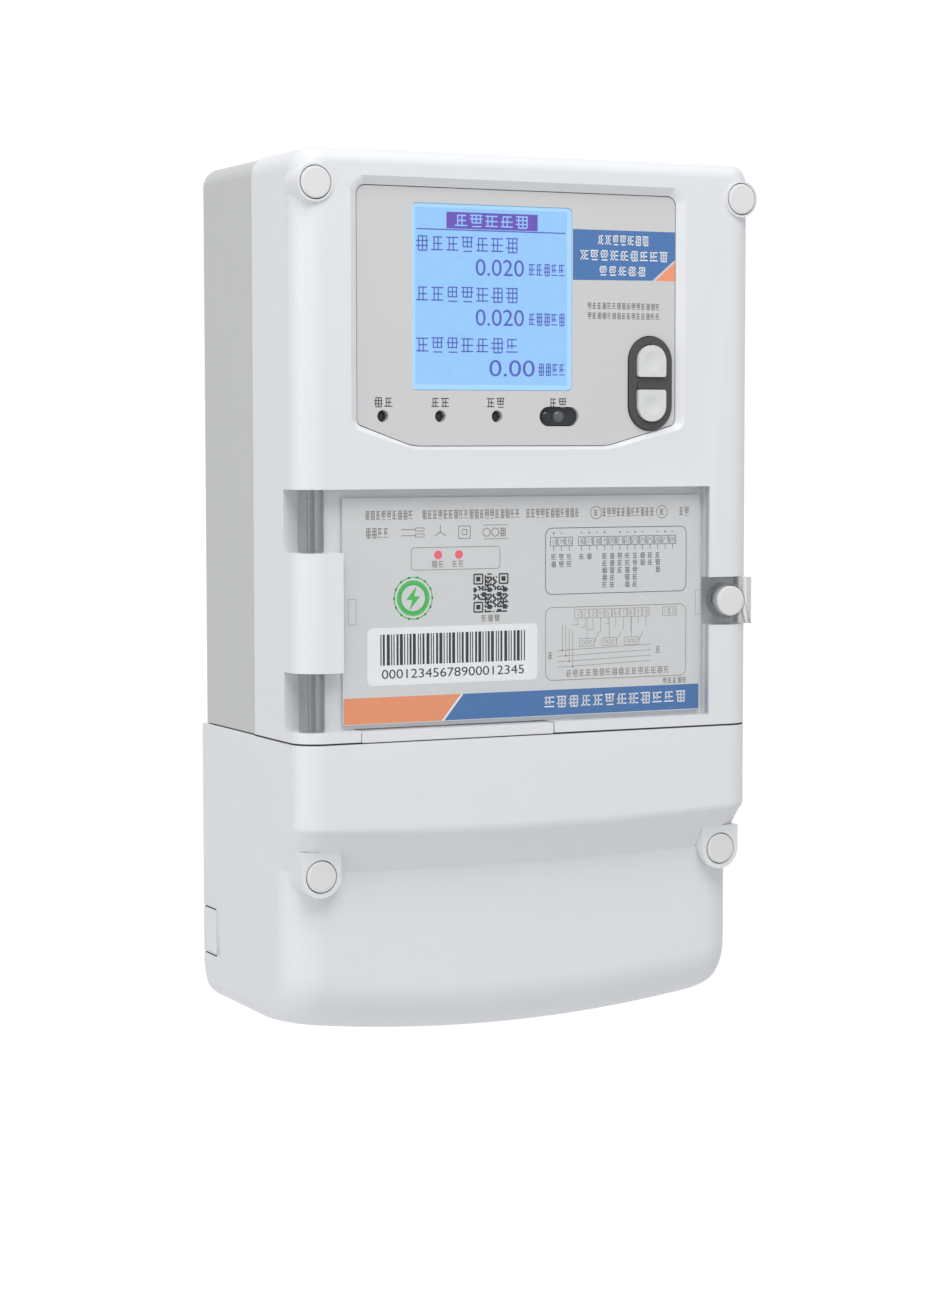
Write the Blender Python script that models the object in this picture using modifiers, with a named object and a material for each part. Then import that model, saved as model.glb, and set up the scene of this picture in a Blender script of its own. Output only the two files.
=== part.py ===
"""Wall-mounted three-phase electricity meter with a liquid-crystal display.

World frame in metres: X to the right, Y into the wall, Z up. The origin is the middle of the back face,
at the height of the seam between the upper body and the terminal cover. The front faces -Y.
"""

import math

import bmesh
import bpy
from mathutils import Matrix, Vector

MM = 0.001

# Overall sizes.
WIDTH = 170.0 * MM
DEPTH = 90.0 * MM
TOP = 192.4 * MM
DROP = 102.0 * MM
REAR_DEPTH = 49.8 * MM
LEDGE_STEP = 10.0 * MM

# Walls and fits.
WALL = 2.5 * MM
BACK_WALL = 4.5 * MM
GAP = 0.3 * MM
SEAM = 0.15 * MM
PIN_PLAY = 0.2 * MM
CASE_STEP = 0.5 * MM
CUT_PAST = 2.0 * MM
HALF_LAP = WALL / 2

# How far each block inside the front cover starts behind a face, as a share of the wall. The shares
# differ, so no two of their faces lie on one plane.
LABEL_LAP = 0.4
HINGE_LAP = 0.6
SILL_LAP = 0.3

# Fineness of round shapes.
ARC_STEPS = 4
BOW_STEPS = 12
LOW_BOSS_STEPS = 7
ROUND_SIDES = 16
SCREW_SIDES = 12
SMALL_SIDES = 6
LEAST_EDGE = 0.05 * MM
MERGE = 0.001 * MM
ON_PLANE = 0.01 * MM
SMOOTH_ANGLE = math.radians(40)

# Rounded corners and edges.
TOP_CORNER = 13.0 * MM
FRONT_ROUND = 6.0 * MM
CASE_ROUND = 4.0 * MM
LOWER_ROUND = 13.0 * MM
UPPER_SIDE_ROUND = 9.0 * MM
BOTTOM_FRONT_ROUND = 18.0 * MM
BOTTOM_BACK_ROUND = 12.0 * MM
BOTTOM_SIDE_ROUND = 4.0 * MM
BOTTOM_ARC_RISE = 7.0 * MM

# Seal screws and their bosses.
TOP_BOSS_INSET_X = 6.0 * MM
TOP_BOSS_INSET_Z = 11.6 * MM
TOP_BOSS_PROUD = 0.6 * MM
BOSS_RADIUS = 7.2 * MM
BOSS_TAPER = 2.0 * MM
BOSS_LENGTH = 19.4 * MM
BOSS_RIM = 0.7 * MM
HEAD_PLAY = 0.55 * MM
HEAD_CHAMFER = 0.4 * MM
HEAD_PROUD = 0.5 * MM
RECESS_DEPTH = 4.0 * MM
SHANK_RADIUS = 1.5 * MM
BORE_RADIUS = 1.8 * MM
THREAD_GRIP = 20.0 * MM
PILLAR_RADIUS = 3.0 * MM
LOW_PILLAR_RADIUS = 4.5 * MM

# Display panel: margins from the sides and top of the body.
PANEL_LEFT = 18.4 * MM
PANEL_RIGHT = 27.6 * MM
PANEL_TOP = 9.4 * MM
PANEL_BOTTOM = 95.4 * MM
PANEL_SHOULDER = 7.1 * MM
PANEL_SLANT_LEFT = 22.6 * MM
PANEL_SLANT_RIGHT = 28.8 * MM
PANEL_CORNER = 5.0 * MM
PANEL_SLANT_ROUND = 20.0 * MM
PANEL_SHOULDER_ROUND = 2.5 * MM
PANEL_BEVEL = 2.7 * MM
PANEL_LOW_BEVEL = 1.1 * MM
PANEL_BEVEL_DEPTH = 2.0 * MM
PANEL_LEAD = 0.5 * MM
FASCIA_DEPTH = 2.2 * MM
FASCIA_THICK = 1.2 * MM
PANEL_PLATE = 2.0 * MM

# Display: margins inside the panel.
LCD_LEFT = 23.1 * MM
LCD_RIGHT = 42.5 * MM
LCD_TOP = 8.8 * MM
LCD_BOTTOM = 19.7 * MM
LCD_CORNER = 1.5 * MM
LCD_LEDGE = 1.5 * MM
LCD_GLASS = 2.7 * MM
BACKLIGHT = 2.4 * MM
LCD_FRAME_BORDER = 4.5 * MM
BOARD_THICK = 1.6 * MM

# Indicators under the display.
LED_FIRST = 12.1 * MM
LED_PITCH = 20.7 * MM
LED_COUNT = 3
LED_RISE = 11.0 * MM
LED_HOLE = 2.0 * MM
LED_COLLAR = 2.8 * MM
IR_FROM_RIGHT = 54.7 * MM
IR_WIDTH = 14.8 * MM
IR_HEIGHT = 6.5 * MM

# Button pair.
BEZEL_FROM_RIGHT = 20.9 * MM
BEZEL_WIDTH = 16.5 * MM
BEZEL_HEIGHT = 31.6 * MM
BEZEL_RISE = 6.5 * MM
BEZEL_PROUD = 0.8 * MM
BEZEL_BORDER = 2.6 * MM
BUTTON_BAR = 3.7 * MM
BUTTON_PLAY = 0.3 * MM
BUTTON_PROUD = 2.0 * MM
BUTTON_FLANGE = 1.0 * MM
BUTTON_TRAVEL = 1.2 * MM
BUTTON_ROUND = 0.6 * MM
BUTTON_CORNER = 0.75 * MM
PLUNGER_PLAY = 0.1 * MM
SWITCH_SIZE = 6.0 * MM
SWITCH_HEIGHT = 2.4 * MM
PLUNGER_RADIUS = 1.6 * MM

# Door, its hinge and the name plate behind it.
DOOR_BOTTOM = 4.0 * MM
DOOR_TOP = 82.7 * MM
DOOR_RIGHT_MARGIN = 17.6 * MM
POCKET_WIDTH = 10.6 * MM
POCKET_DEPTH = 13.6 * MM
BRIDGE_LOW = 23.2 * MM
BRIDGE_HIGH = 62.2 * MM
BRIDGE_WIDTH = 15.4 * MM
DOOR_SUNK = 0.5 * MM
DOOR_THICK = 2.0 * MM
HINGE_INSET = 6.0 * MM
BARREL_RADIUS = 4.3 * MM
DOOR_SWING_GAP = 1.0 * MM
PIN_RADIUS = 1.1 * MM
PIN_GRIP = 2.6 * MM
LABEL_DEPTH = 4.5 * MM
LABEL_THICK = 1.0 * MM
LABEL_FLOOR = 2.0 * MM
LABEL_MARGIN = 1.5 * MM
LABEL_TOP_MARGIN = 2.9 * MM
NOTCH_LOW = 34.8 * MM
NOTCH_HIGH = 51.4 * MM
NOTCH_DEPTH = 10.0 * MM
DOOR_BOSS_INSET = 9.7 * MM
DOOR_BOSS_RADIUS = 7.3 * MM
DOOR_BOSS_BACK = 5.5 * MM
DOOR_RECESS = 2.7 * MM
DOOR_HEAD_PROUD = 1.3 * MM
SILL_FROM_LEFT = 21.4 * MM
SILL_FROM_RIGHT = 77.6 * MM
SILL_DEPTH = 10.0 * MM
SILL_SLOT_LAP = 0.2 * MM

# Terminal cover.
COVER_FLUSH = 31.0 * MM
CREASE = 43.5 * MM
LOW_BOSS_INSET = 9.5 * MM
LOW_BOSS_DROP = 43.85 * MM
LOW_BOSS_RADIUS = 8.3 * MM
LOW_BOSS_PROUD = 4.3 * MM
LOW_TUBE_RADIUS = 4.5 * MM
ENTRY_MARGIN = 20.0 * MM
ENTRY_DEPTH = 36.0 * MM
KNOCKOUT_LOW = 81.3 * MM
KNOCKOUT_HIGH = 64.3 * MM
KNOCKOUT_DEPTH = 12.8 * MM
GROOVE = 0.6 * MM

# Base plate and hanger.
BASE_DROP = 88.0 * MM
BASE_INSET = 3.1 * MM
SCREW_HOLE = 2.6 * MM
SCREW_HOLE_DROP = 80.0 * MM
SCREW_HOLE_INSET = 20.0 * MM
HANGER_WIDTH = 28.0 * MM
HANGER_LENGTH = 42.0 * MM
HANGER_THICK = 1.6 * MM
HANGER_LIP = 1.2 * MM
HANGER_LIP_WIDTH = 3.0 * MM
HANGER_HOLE = 3.0 * MM
HANGER_TOP = 1.4 * MM
HANGER_CORNER = 5.0 * MM

# Terminals.
TERMINAL_COUNT = 10
BLOCK_INSET = 15.0 * MM
BLOCK_TOP = 4.0 * MM
BLOCK_DROP = 60.0 * MM
BLOCK_END = 5.0 * MM
CHAMBER_RIB = 4.0 * MM
CHAMBER_TOP = 26.0 * MM
CHAMBER_BACK = 24.0 * MM
CLAMP_THICK = 3.7 * MM
CLAMP_DROP = 54.0 * MM
TERMINAL_SCREW_DROP = 36.0 * MM
TERMINAL_SCREW_SIDE = 0.9 * MM
TERMINAL_HEAD = 4.0 * MM
TERMINAL_SHANK = 1.9 * MM
WIRE_ROOM = 5.0 * MM
BLOCK_CLEAR = 20.0 * MM
SMALL_COUNT = 16
SMALL_DROP = 24.0 * MM
SMALL_INSET = 21.0 * MM
SMALL_FRONT = 6.0 * MM
SMALL_HOLE = 1.5 * MM
SMALL_HOLE_DEPTH = 12.0 * MM

# Current bars and transformers.
PHASE_TERMINALS = (0, 3, 6)
BAR_THICK = 2.5 * MM
BAR_WIDTH = 8.0 * MM
BAR_CENTRE = 17.0 * MM
BAR_DROP = 32.0 * MM
BAR_RISE = 24.0 * MM
CORE_CLEAR = 2.0 * MM
CORE_BORE = 5.5 * MM
CORE_HEIGHT = 13.0 * MM

# Main board and what it carries.
BOARD_SIDE = 14.0 * MM
BOARD_LOW = 32.0 * MM
BOARD_HEAD_ROOM = 28.0 * MM
BOARD_FRONT = 46.0 * MM
POST_INSET = 8.0 * MM
POST_RADIUS = 4.0 * MM
POST_SCREW_HEAD = 2.8 * MM
POST_SCREW_HEIGHT = 2.0 * MM
POST_SCREW_RADIUS = 1.2 * MM
POST_SCREW_LENGTH = 9.0 * MM
SUPPLY_SIZE = (34.0 * MM, 15.0 * MM, 30.0 * MM)
BATTERY_RADIUS = 7.2 * MM
BATTERY_LENGTH = 26.0 * MM
BATTERY_FROM_MIDDLE = 1 / 3
CAPACITOR_RADIUS = 5.0 * MM
CAPACITOR_LENGTH = 14.0 * MM
CAPACITOR_FROM_MIDDLE = 1 / 12
LINK_SIZE = (24.0 * MM, 5.0 * MM)

# Places that several pieces share.
SIDE = WIDTH / 2
FRONT = -DEPTH
LOWER_FRONT = -(DEPTH - LEDGE_STEP)
GASKET_WIDTH = WALL / 2
RING_RADIUS = BOSS_RADIUS - BOSS_RIM
HEAD_RADIUS = RING_RADIUS - HEAD_PLAY
PANEL_X = (-SIDE + PANEL_LEFT, SIDE - PANEL_RIGHT)
PANEL_Z = (PANEL_BOTTOM, TOP - PANEL_TOP)
FASCIA_FRONT = FRONT + FASCIA_DEPTH
PANEL_SEAT = FASCIA_FRONT + FASCIA_THICK + GAP
PANEL_BACK = PANEL_SEAT + PANEL_PLATE
LCD_X = (PANEL_X[0] + LCD_LEFT, PANEL_X[1] - LCD_RIGHT)
LCD_Z = (PANEL_Z[0] + LCD_BOTTOM, PANEL_Z[1] - LCD_TOP)
GLASS_FRONT = PANEL_BACK + GAP
LIGHT_FRONT = GLASS_FRONT + LCD_GLASS + GAP
DISPLAY_BOARD_FRONT = LIGHT_FRONT + BACKLIGHT + 2 * GAP
LED_Z = PANEL_Z[0] + LED_RISE
BEZEL_X = PANEL_X[1] - BEZEL_FROM_RIGHT
BEZEL_Z = PANEL_Z[0] + BEZEL_RISE
HINGE_X = -SIDE + HINGE_INSET
HINGE_Y = FRONT + DOOR_SUNK + BARREL_RADIUS
DOOR_FRONT = FRONT + DOOR_SUNK
DOOR_BACK = DOOR_FRONT + DOOR_THICK
DOOR_EDGE = -SIDE + BRIDGE_WIDTH + DOOR_SWING_GAP
DOOR_RIGHT = SIDE - DOOR_RIGHT_MARGIN
LABEL_FRONT = FRONT + LABEL_DEPTH
LABEL_SEAT = LABEL_FRONT + LABEL_THICK + GAP
DOOR_BOSS = (SIDE - DOOR_BOSS_INSET, (NOTCH_LOW + NOTCH_HIGH) / 2)
TOP_BOSS = (SIDE - TOP_BOSS_INSET_X, TOP - TOP_BOSS_INSET_Z)
LOW_BOSS = (SIDE - LOW_BOSS_INSET, -LOW_BOSS_DROP)
BLOCK_FRONT = LOWER_FRONT + BLOCK_CLEAR
BLOCK_SIDE = SIDE - BLOCK_INSET
TERMINAL_PITCH = 2 * (BLOCK_SIDE - BLOCK_END) / TERMINAL_COUNT
CHAMBER_HALF = (TERMINAL_PITCH - CHAMBER_RIB) / 2
CORE_RADIUS = TERMINAL_PITCH - CORE_CLEAR
SIDES = {"left": -1, "right": 1}

COLOURS = {
    "case_grey": ((0.50, 0.51, 0.52), 0.45, 0.0),
    "cover_white": ((0.77, 0.79, 0.80), 0.40, 0.0),
    "fascia_grey": ((0.64, 0.64, 0.65), 0.50, 0.0),
    "clear": ((0.86, 0.88, 0.90), 0.08, 0.0),
    "display_blue": ((0.33, 0.62, 1.00), 0.20, 0.0),
    "backlight_white": ((0.85, 0.90, 0.95), 0.50, 0.0),
    "dark_plastic": ((0.08, 0.08, 0.09), 0.35, 0.0),
    "button_grey": ((0.67, 0.68, 0.69), 0.45, 0.0),
    "label_silver": ((0.64, 0.65, 0.65), 0.40, 0.0),
    "block_black": ((0.05, 0.05, 0.05), 0.55, 0.0),
    "board_green": ((0.02, 0.16, 0.07), 0.45, 0.0),
    "steel": ((0.60, 0.61, 0.62), 0.30, 1.0),
    "brass": ((0.80, 0.58, 0.25), 0.30, 1.0),
    "copper": ((0.72, 0.36, 0.20), 0.30, 1.0),
    "gasket_rubber": ((0.04, 0.04, 0.04), 0.80, 0.0),
    "core_blue": ((0.03, 0.10, 0.35), 0.50, 0.0),
}

TURN_TO = {
    "X": Matrix(((0, 0, 1), (1, 0, 0), (0, 1, 0))),
    "Y": Matrix(((1, 0, 0), (0, 0, -1), (0, 1, 0))),
    "Z": Matrix.Identity(3),
}


def clear_scene():
    for obj in list(bpy.data.objects):
        bpy.data.objects.remove(obj, do_unlink=True)


def make_collection(name, shown):
    collection = bpy.data.collections.new(name)
    collection.hide_render = not shown
    bpy.context.scene.collection.children.link(collection)
    return collection


def make_materials():
    materials = {}
    for name, (colour, roughness, metallic) in COLOURS.items():
        material = bpy.data.materials.new(name)
        material.use_nodes = True
        shader = material.node_tree.nodes["Principled BSDF"]
        shader.inputs["Base Color"].default_value = (*colour, 1.0)
        shader.inputs["Roughness"].default_value = roughness
        shader.inputs["Metallic"].default_value = metallic
        materials[name] = material
    return materials


def place(name, mesh, finish):
    """An object of the meter, or a hidden tool when it has no finish."""
    obj = bpy.data.objects.new(name, mesh)
    if finish:
        mesh.materials.append(MATERIALS[finish])
        METER.objects.link(obj)
        return obj
    obj.hide_render = True
    obj.display_type = "WIRE"
    CUTTERS.objects.link(obj)
    return obj


def mesh_of(name, shape):
    bmesh.ops.recalc_face_normals(shape, faces=shape.faces)
    mesh = bpy.data.meshes.new(name)
    shape.to_mesh(mesh)
    shape.free()
    return mesh


def box(name, low, high, finish=None):
    low, high = Vector(low), Vector(high)
    shape = bmesh.new()
    middle = Matrix.Translation((low + high) / 2)
    bmesh.ops.create_cube(shape, size=1.0, matrix=middle @ Matrix.Diagonal((*(high - low), 1)))
    return place(name, mesh_of(name, shape), finish)


def rod(name, axis, start, end, radius, finish=None, end_radius=None, sides=ROUND_SIDES):
    """A round rod, or a cone, between two end centres on one axis.

    A cone along Y has its radius at the back and its end_radius at the front.
    """
    start, end = Vector(start), Vector(end)
    shape = bmesh.new()
    to_axis = Matrix.Translation((start + end) / 2) @ TURN_TO[axis].to_4x4()
    bmesh.ops.create_cone(
        shape,
        cap_ends=True,
        segments=sides,
        radius1=radius,
        radius2=radius if end_radius is None else end_radius,
        depth=(end - start).length,
        matrix=to_axis,
    )
    obj = place(name, mesh_of(name, shape), finish)
    obj.data.shade_smooth()
    obj.data.set_sharp_from_angle(angle=SMOOTH_ANGLE)
    return obj


def turned(name, axis, centre, profile, finish, sides=ROUND_SIDES):
    """A turned piece: the profile holds (radius, height) pairs from its top to its bottom."""
    mesh = bpy.data.meshes.new(name)
    points = [(radius, 0, height) for radius, height in profile]
    mesh.from_pydata(points, [(i, i + 1) for i in range(len(points) - 1)], [])
    obj = place(name, mesh, finish)
    obj.location = centre
    obj.rotation_euler = TURN_TO[axis].to_euler()
    screw = obj.modifiers.new("turn", "SCREW")
    screw.steps = sides
    screw.render_steps = sides
    screw.use_merge_vertices = True
    screw.merge_threshold = ON_PLANE
    screw.use_smooth_shade = True
    return obj


def slab(name, axis, loops, low, high, finish=None):
    """A flat outline, with a loop for each hole in it, made as thick as low to high along one axis."""
    curve = bpy.data.curves.new(name, "CURVE")
    curve.dimensions = "2D"
    curve.fill_mode = "BOTH"
    curve.extrude = (high - low) / 2
    for loop in loops:
        spline = curve.splines.new("POLY")
        spline.points.add(len(loop) - 1)
        spline.use_cyclic_u = True
        for point, (across, up) in zip(spline.points, loop):
            point.co = (across, up, 0, 1)
    guide = bpy.data.objects.new(name + "_outline", curve)
    bpy.context.scene.collection.objects.link(guide)
    bpy.context.view_layer.update()
    graph = bpy.context.evaluated_depsgraph_get()
    mesh = bpy.data.meshes.new_from_object(guide.evaluated_get(graph))
    bpy.data.objects.remove(guide, do_unlink=True)
    shape = bmesh.new()
    shape.from_mesh(mesh)
    bmesh.ops.remove_doubles(shape, verts=shape.verts, dist=MERGE)
    shape.transform(TURN_TO[axis].to_4x4())
    offset = Vector([(low + high) / 2 if letter == axis else 0 for letter in "XYZ"])
    bmesh.ops.translate(shape, verts=shape.verts, vec=offset)
    mesh = mesh_of(name, shape)
    return place(name, mesh, finish)


def funnel(name, *sections):
    """A cutter through like outlines one behind the other: each section is (outline, its Y)."""
    shape = bmesh.new()
    rings = [[shape.verts.new((x, y, z)) for x, z in outline] for outline, y in sections]
    shape.faces.new(rings[0])
    shape.faces.new(rings[-1])
    for ring, following in zip(rings, rings[1:]):
        for index in range(len(ring)):
            shape.faces.new((ring[index - 1], ring[index], following[index], following[index - 1]))
    return place(name, mesh_of(name, shape), None)


def rounded(corners, steps=ARC_STEPS):
    """The points of a closed outline whose corners are (across, up, radius)."""
    points = []
    for index, (across, up, radius) in enumerate(corners):
        here = Vector((across, up))
        if radius <= 0:
            points.append(tuple(here))
            continue
        back = (Vector(corners[index - 1][:2]) - here).normalized()
        ahead = (Vector(corners[(index + 1) % len(corners)][:2]) - here).normalized()
        half = back.angle(ahead) / 2
        centre = here + (back + ahead).normalized() * (radius / math.sin(half))
        spoke = here + back * (radius / math.tan(half)) - centre
        turn = math.copysign(math.pi - 2 * half, back.y * ahead.x - back.x * ahead.y)
        for step in range(steps + 1):
            points.append(tuple(centre + Matrix.Rotation(turn * step / steps, 2) @ spoke))
    apart = zip(points, points[-1:] + points[:-1])
    return [point for point, last in apart if math.dist(point, last) > LEAST_EDGE]


def rectangle(across, up, radius=0.0):
    (left, right), (low, high) = across, up
    corners = (left, low), (right, low), (right, high), (left, high)
    return rounded([(*corner, radius) for corner in corners])


def arch(inset, low, corner):
    """The upper body's front outline: square corners below and round ones above."""
    side, top = SIDE - inset, TOP - inset
    return rounded([(-side, low, 0), (side, low, 0), (side, top, corner), (-side, top, corner)])


def combine(target, operation, *tools):
    for tool in tools:
        boolean = target.modifiers.new(tool.name, "BOOLEAN")
        boolean.operation = operation
        boolean.solver = "EXACT"
        boolean.object = tool
    return target


def cut(target, *tools):
    return combine(target, "DIFFERENCE", *tools)


def join(target, *tools):
    return combine(target, "UNION", *tools)


def keep(target, *tools):
    return combine(target, "INTERSECT", *tools)


def round_edges(obj, radius, chosen, segments=3):
    """Rounds the edges whose two end points both pass the test."""
    mesh = obj.data
    weights = mesh.attributes.new("bevel_weight_edge", "FLOAT", "EDGE")
    for edge in mesh.edges:
        ends = [mesh.vertices[index].co for index in edge.vertices]
        weights.data[edge.index].value = 1.0 if all(chosen(end) for end in ends) else 0.0
    bevel = obj.modifiers.new("round_edges", "BEVEL")
    bevel.width = radius
    bevel.segments = segments
    bevel.limit_method = "WEIGHT"
    return obj


def at_y(y):
    return lambda point: abs(point.y - y) < ON_PLANE


def above_at_y(y, low):
    """Points on one Y plane, without the square corners of the bottom edge."""
    return lambda point: abs(point.y - y) < ON_PLANE and point.z > low


def hang_on(obj, pivot):
    """Moves an object's origin to a joint's axis, leaving its shape in place."""
    pivot = Vector(pivot)
    obj.data.transform(Matrix.Translation(-pivot))
    obj.location = pivot
    return obj


def panel_outline(inset, low_inset):
    """The display panel's outline: square shoulders above, slanted ones below."""
    left, right = PANEL_X[0] + inset, PANEL_X[1] - inset
    low, high = PANEL_Z[0] + low_inset, PANEL_Z[1] - inset
    shoulder = low + PANEL_SHOULDER
    corner = PANEL_CORNER - inset * (PANEL_CORNER - LCD_CORNER) / (2 * PANEL_BEVEL)
    return rounded(
        [
            (PANEL_X[0] + PANEL_SLANT_LEFT, low, PANEL_SLANT_ROUND),
            (PANEL_X[1] - PANEL_SLANT_RIGHT, low, PANEL_SLANT_ROUND),
            (right, shoulder, PANEL_SHOULDER_ROUND),
            (right, high, corner),
            (left, high, corner),
            (left, shoulder, PANEL_SHOULDER_ROUND),
        ]
    )


def bezel_outline(spread):
    half = BEZEL_WIDTH / 2 + spread
    across = (BEZEL_X + BEZEL_WIDTH / 2 - half, BEZEL_X + BEZEL_WIDTH / 2 + half)
    return rectangle(across, (BEZEL_Z - spread, BEZEL_Z + BEZEL_HEIGHT + spread), half - MERGE)


def button_outline(part, spread):
    """A D-shaped button: its arched end is up for the upper button and down for the lower one."""
    middle = BEZEL_X + BEZEL_WIDTH / 2
    half = BEZEL_WIDTH / 2 - BEZEL_BORDER + spread
    centre = BEZEL_Z + BEZEL_HEIGHT / 2
    flat = BUTTON_BAR / 2 - spread
    arched = BEZEL_HEIGHT / 2 - BEZEL_BORDER + spread
    low, high = (flat, arched) if part == "up" else (-arched, -flat)
    radii = (BUTTON_CORNER, half - MERGE) if part == "up" else (half - MERGE, BUTTON_CORNER)
    return rounded(
        [
            (middle - half, centre + low, radii[0]),
            (middle + half, centre + low, radii[0]),
            (middle + half, centre + high, radii[1]),
            (middle - half, centre + high, radii[1]),
        ]
    )


def ir_outline(inset):
    left = PANEL_X[1] - IR_FROM_RIGHT
    return rectangle(
        (left + inset, left + IR_WIDTH - inset),
        (LED_Z - IR_HEIGHT / 2 + inset, LED_Z + IR_HEIGHT / 2 - inset),
        IR_HEIGHT / 2 - inset - MERGE,
    )


def led_places():
    return [PANEL_X[0] + LED_FIRST + LED_PITCH * index for index in range(LED_COUNT)]


def terminal_places():
    first = -TERMINAL_PITCH * (TERMINAL_COUNT - 1) / 2
    return [first + TERMINAL_PITCH * index for index in range(TERMINAL_COUNT)]


def board_corners():
    """The main board's four fixing points, as (X, Z)."""
    across = SIDE - BOARD_SIDE - POST_INSET
    heights = (BOARD_LOW + POST_INSET, TOP - BOARD_HEAD_ROOM - POST_INSET)
    return [(side * across, height) for height in heights for side in (-1, 1)]


def display_posts():
    """The display board's fixing points: beside the panel plate's lower left and upper right corners."""
    left, right = PANEL_X[0] + 2 * POST_RADIUS, PANEL_X[1] - 2 * POST_RADIUS
    return [(left, LCD_Z[1]), (right, LCD_Z[1])]


def seal_screw(name, x, z, floor, end, proud_of, proud):
    """A captive screw with a wide round cap. It turns about its own axis."""
    profile = [
        (0, proud_of + proud),
        (HEAD_RADIUS - HEAD_CHAMFER, proud_of + proud),
        (HEAD_RADIUS, proud_of + proud - HEAD_CHAMFER),
        (HEAD_RADIUS, floor + GAP),
        (SHANK_RADIUS, floor + GAP),
        (SHANK_RADIUS, end),
        (0, end),
    ]
    profile = [(radius, out - proud_of) for radius, out in profile]
    return turned(name, "Y", (x, -proud_of, z), profile, "cover_white")


def make_rear_case():
    case = slab("rear_case", "Y", [arch(CASE_STEP, SEAM, TOP_CORNER)], -REAR_DEPTH, 0, "case_grey")
    round_edges(case, CASE_ROUND, above_at_y(0, WALL))
    room = arch(CASE_STEP + WALL, SEAM + WALL, TOP_CORNER - WALL)
    cut(case, slab("case_room", "Y", [room], -REAR_DEPTH - CUT_PAST, -BACK_WALL))
    plate_side = SIDE - BASE_INSET
    low, high = (-plate_side, -BACK_WALL, -BASE_DROP), (plate_side, 0, SEAM + HALF_LAP)
    join(case, box("base_plate", low, high))
    top_reach = FRONT - TOP_BOSS_PROUD + BOSS_LENGTH + GAP
    low_reach = BLOCK_FRONT
    for side, sign in SIDES.items():
        x, z = sign * TOP_BOSS[0], TOP_BOSS[1]
        root = -BACK_WALL / 2
        join(case, rod(f"top_pillar_{side}", "Y", (x, root, z), (x, top_reach, z), PILLAR_RADIUS))
        start, end = (x, top_reach - WALL, z), (x, top_reach + THREAD_GRIP + WALL, z)
        cut(case, rod(f"top_bore_{side}", "Y", start, end, BORE_RADIUS))
        x, z = sign * LOW_BOSS[0], LOW_BOSS[1]
        join(case, rod(f"low_pillar_{side}", "Y", (x, root, z), (x, low_reach, z), LOW_PILLAR_RADIUS))
        start, end = (x, low_reach - WALL, z), (x, low_reach + THREAD_GRIP + WALL, z)
        cut(case, rod(f"low_bore_{side}", "Y", start, end, BORE_RADIUS))
        x, z = sign * (SIDE - SCREW_HOLE_INSET), -SCREW_HOLE_DROP
        start, end = (x, CUT_PAST, z), (x, -BACK_WALL - CUT_PAST, z)
        cut(case, rod(f"wall_hole_{side}", "Y", start, end, SCREW_HOLE))
    post_top = -BOARD_FRONT + BOARD_THICK + GAP
    for number, (x, z) in enumerate(board_corners(), 1):
        join(case, rod(f"post_{number}", "Y", (x, -BACK_WALL / 2, z), (x, post_top, z), POST_RADIUS))
        start, end = (x, post_top - WALL, z), (x, post_top + POST_SCREW_LENGTH, z)
        cut(case, rod(f"post_hole_{number}", "Y", start, end, POST_SCREW_RADIUS + GAP))
    for number, x in enumerate(bar_legs(), 1):
        low = (x - BAR_THICK / 2 - GAP, -BAR_CENTRE - BAR_WIDTH / 2 - GAP, -CUT_PAST)
        high = (x + BAR_THICK / 2 + GAP, -BAR_CENTRE + BAR_WIDTH / 2 + GAP, SEAM + WALL + CUT_PAST)
        cut(case, box(f"bar_slot_{number}", low, high))
    half, low_z = HANGER_WIDTH / 2 + GAP, TOP - HANGER_TOP - HANGER_LENGTH - GAP
    mouth = half - HANGER_LIP_WIDTH
    deep = -(HANGER_LIP + HANGER_THICK + 2 * GAP)
    track = [
        (-half, deep),
        (half, deep),
        (half, -HANGER_LIP),
        (mouth, -HANGER_LIP),
        (mouth, CUT_PAST),
        (-mouth, CUT_PAST),
        (-mouth, -HANGER_LIP),
        (-half, -HANGER_LIP),
    ]
    cut(case, slab("hanger_track", "Z", [track], low_z, TOP + CUT_PAST))
    return case


def bar_legs():
    """X of both legs of each current bar."""
    places = terminal_places()
    return [places[first + step] for first in PHASE_TERMINALS for step in (0, 2)]


def make_hanger():
    half = HANGER_WIDTH / 2
    high = TOP - HANGER_TOP
    outline = rectangle((-half, half), (high - HANGER_LENGTH, high), HANGER_CORNER)
    hole_z = high - 2 * HANGER_HOLE - HANGER_CORNER / 2
    height = (hole_z - HANGER_HOLE, hole_z + HANGER_HOLE)
    hole = rectangle((-HANGER_HOLE, HANGER_HOLE), height, HANGER_HOLE - MERGE)
    back = -HANGER_LIP - GAP
    plate = slab("hanger_plate", "Y", [outline, hole], back - HANGER_THICK, back, "steel")
    return hang_on(plate, (0, back, high))


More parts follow.
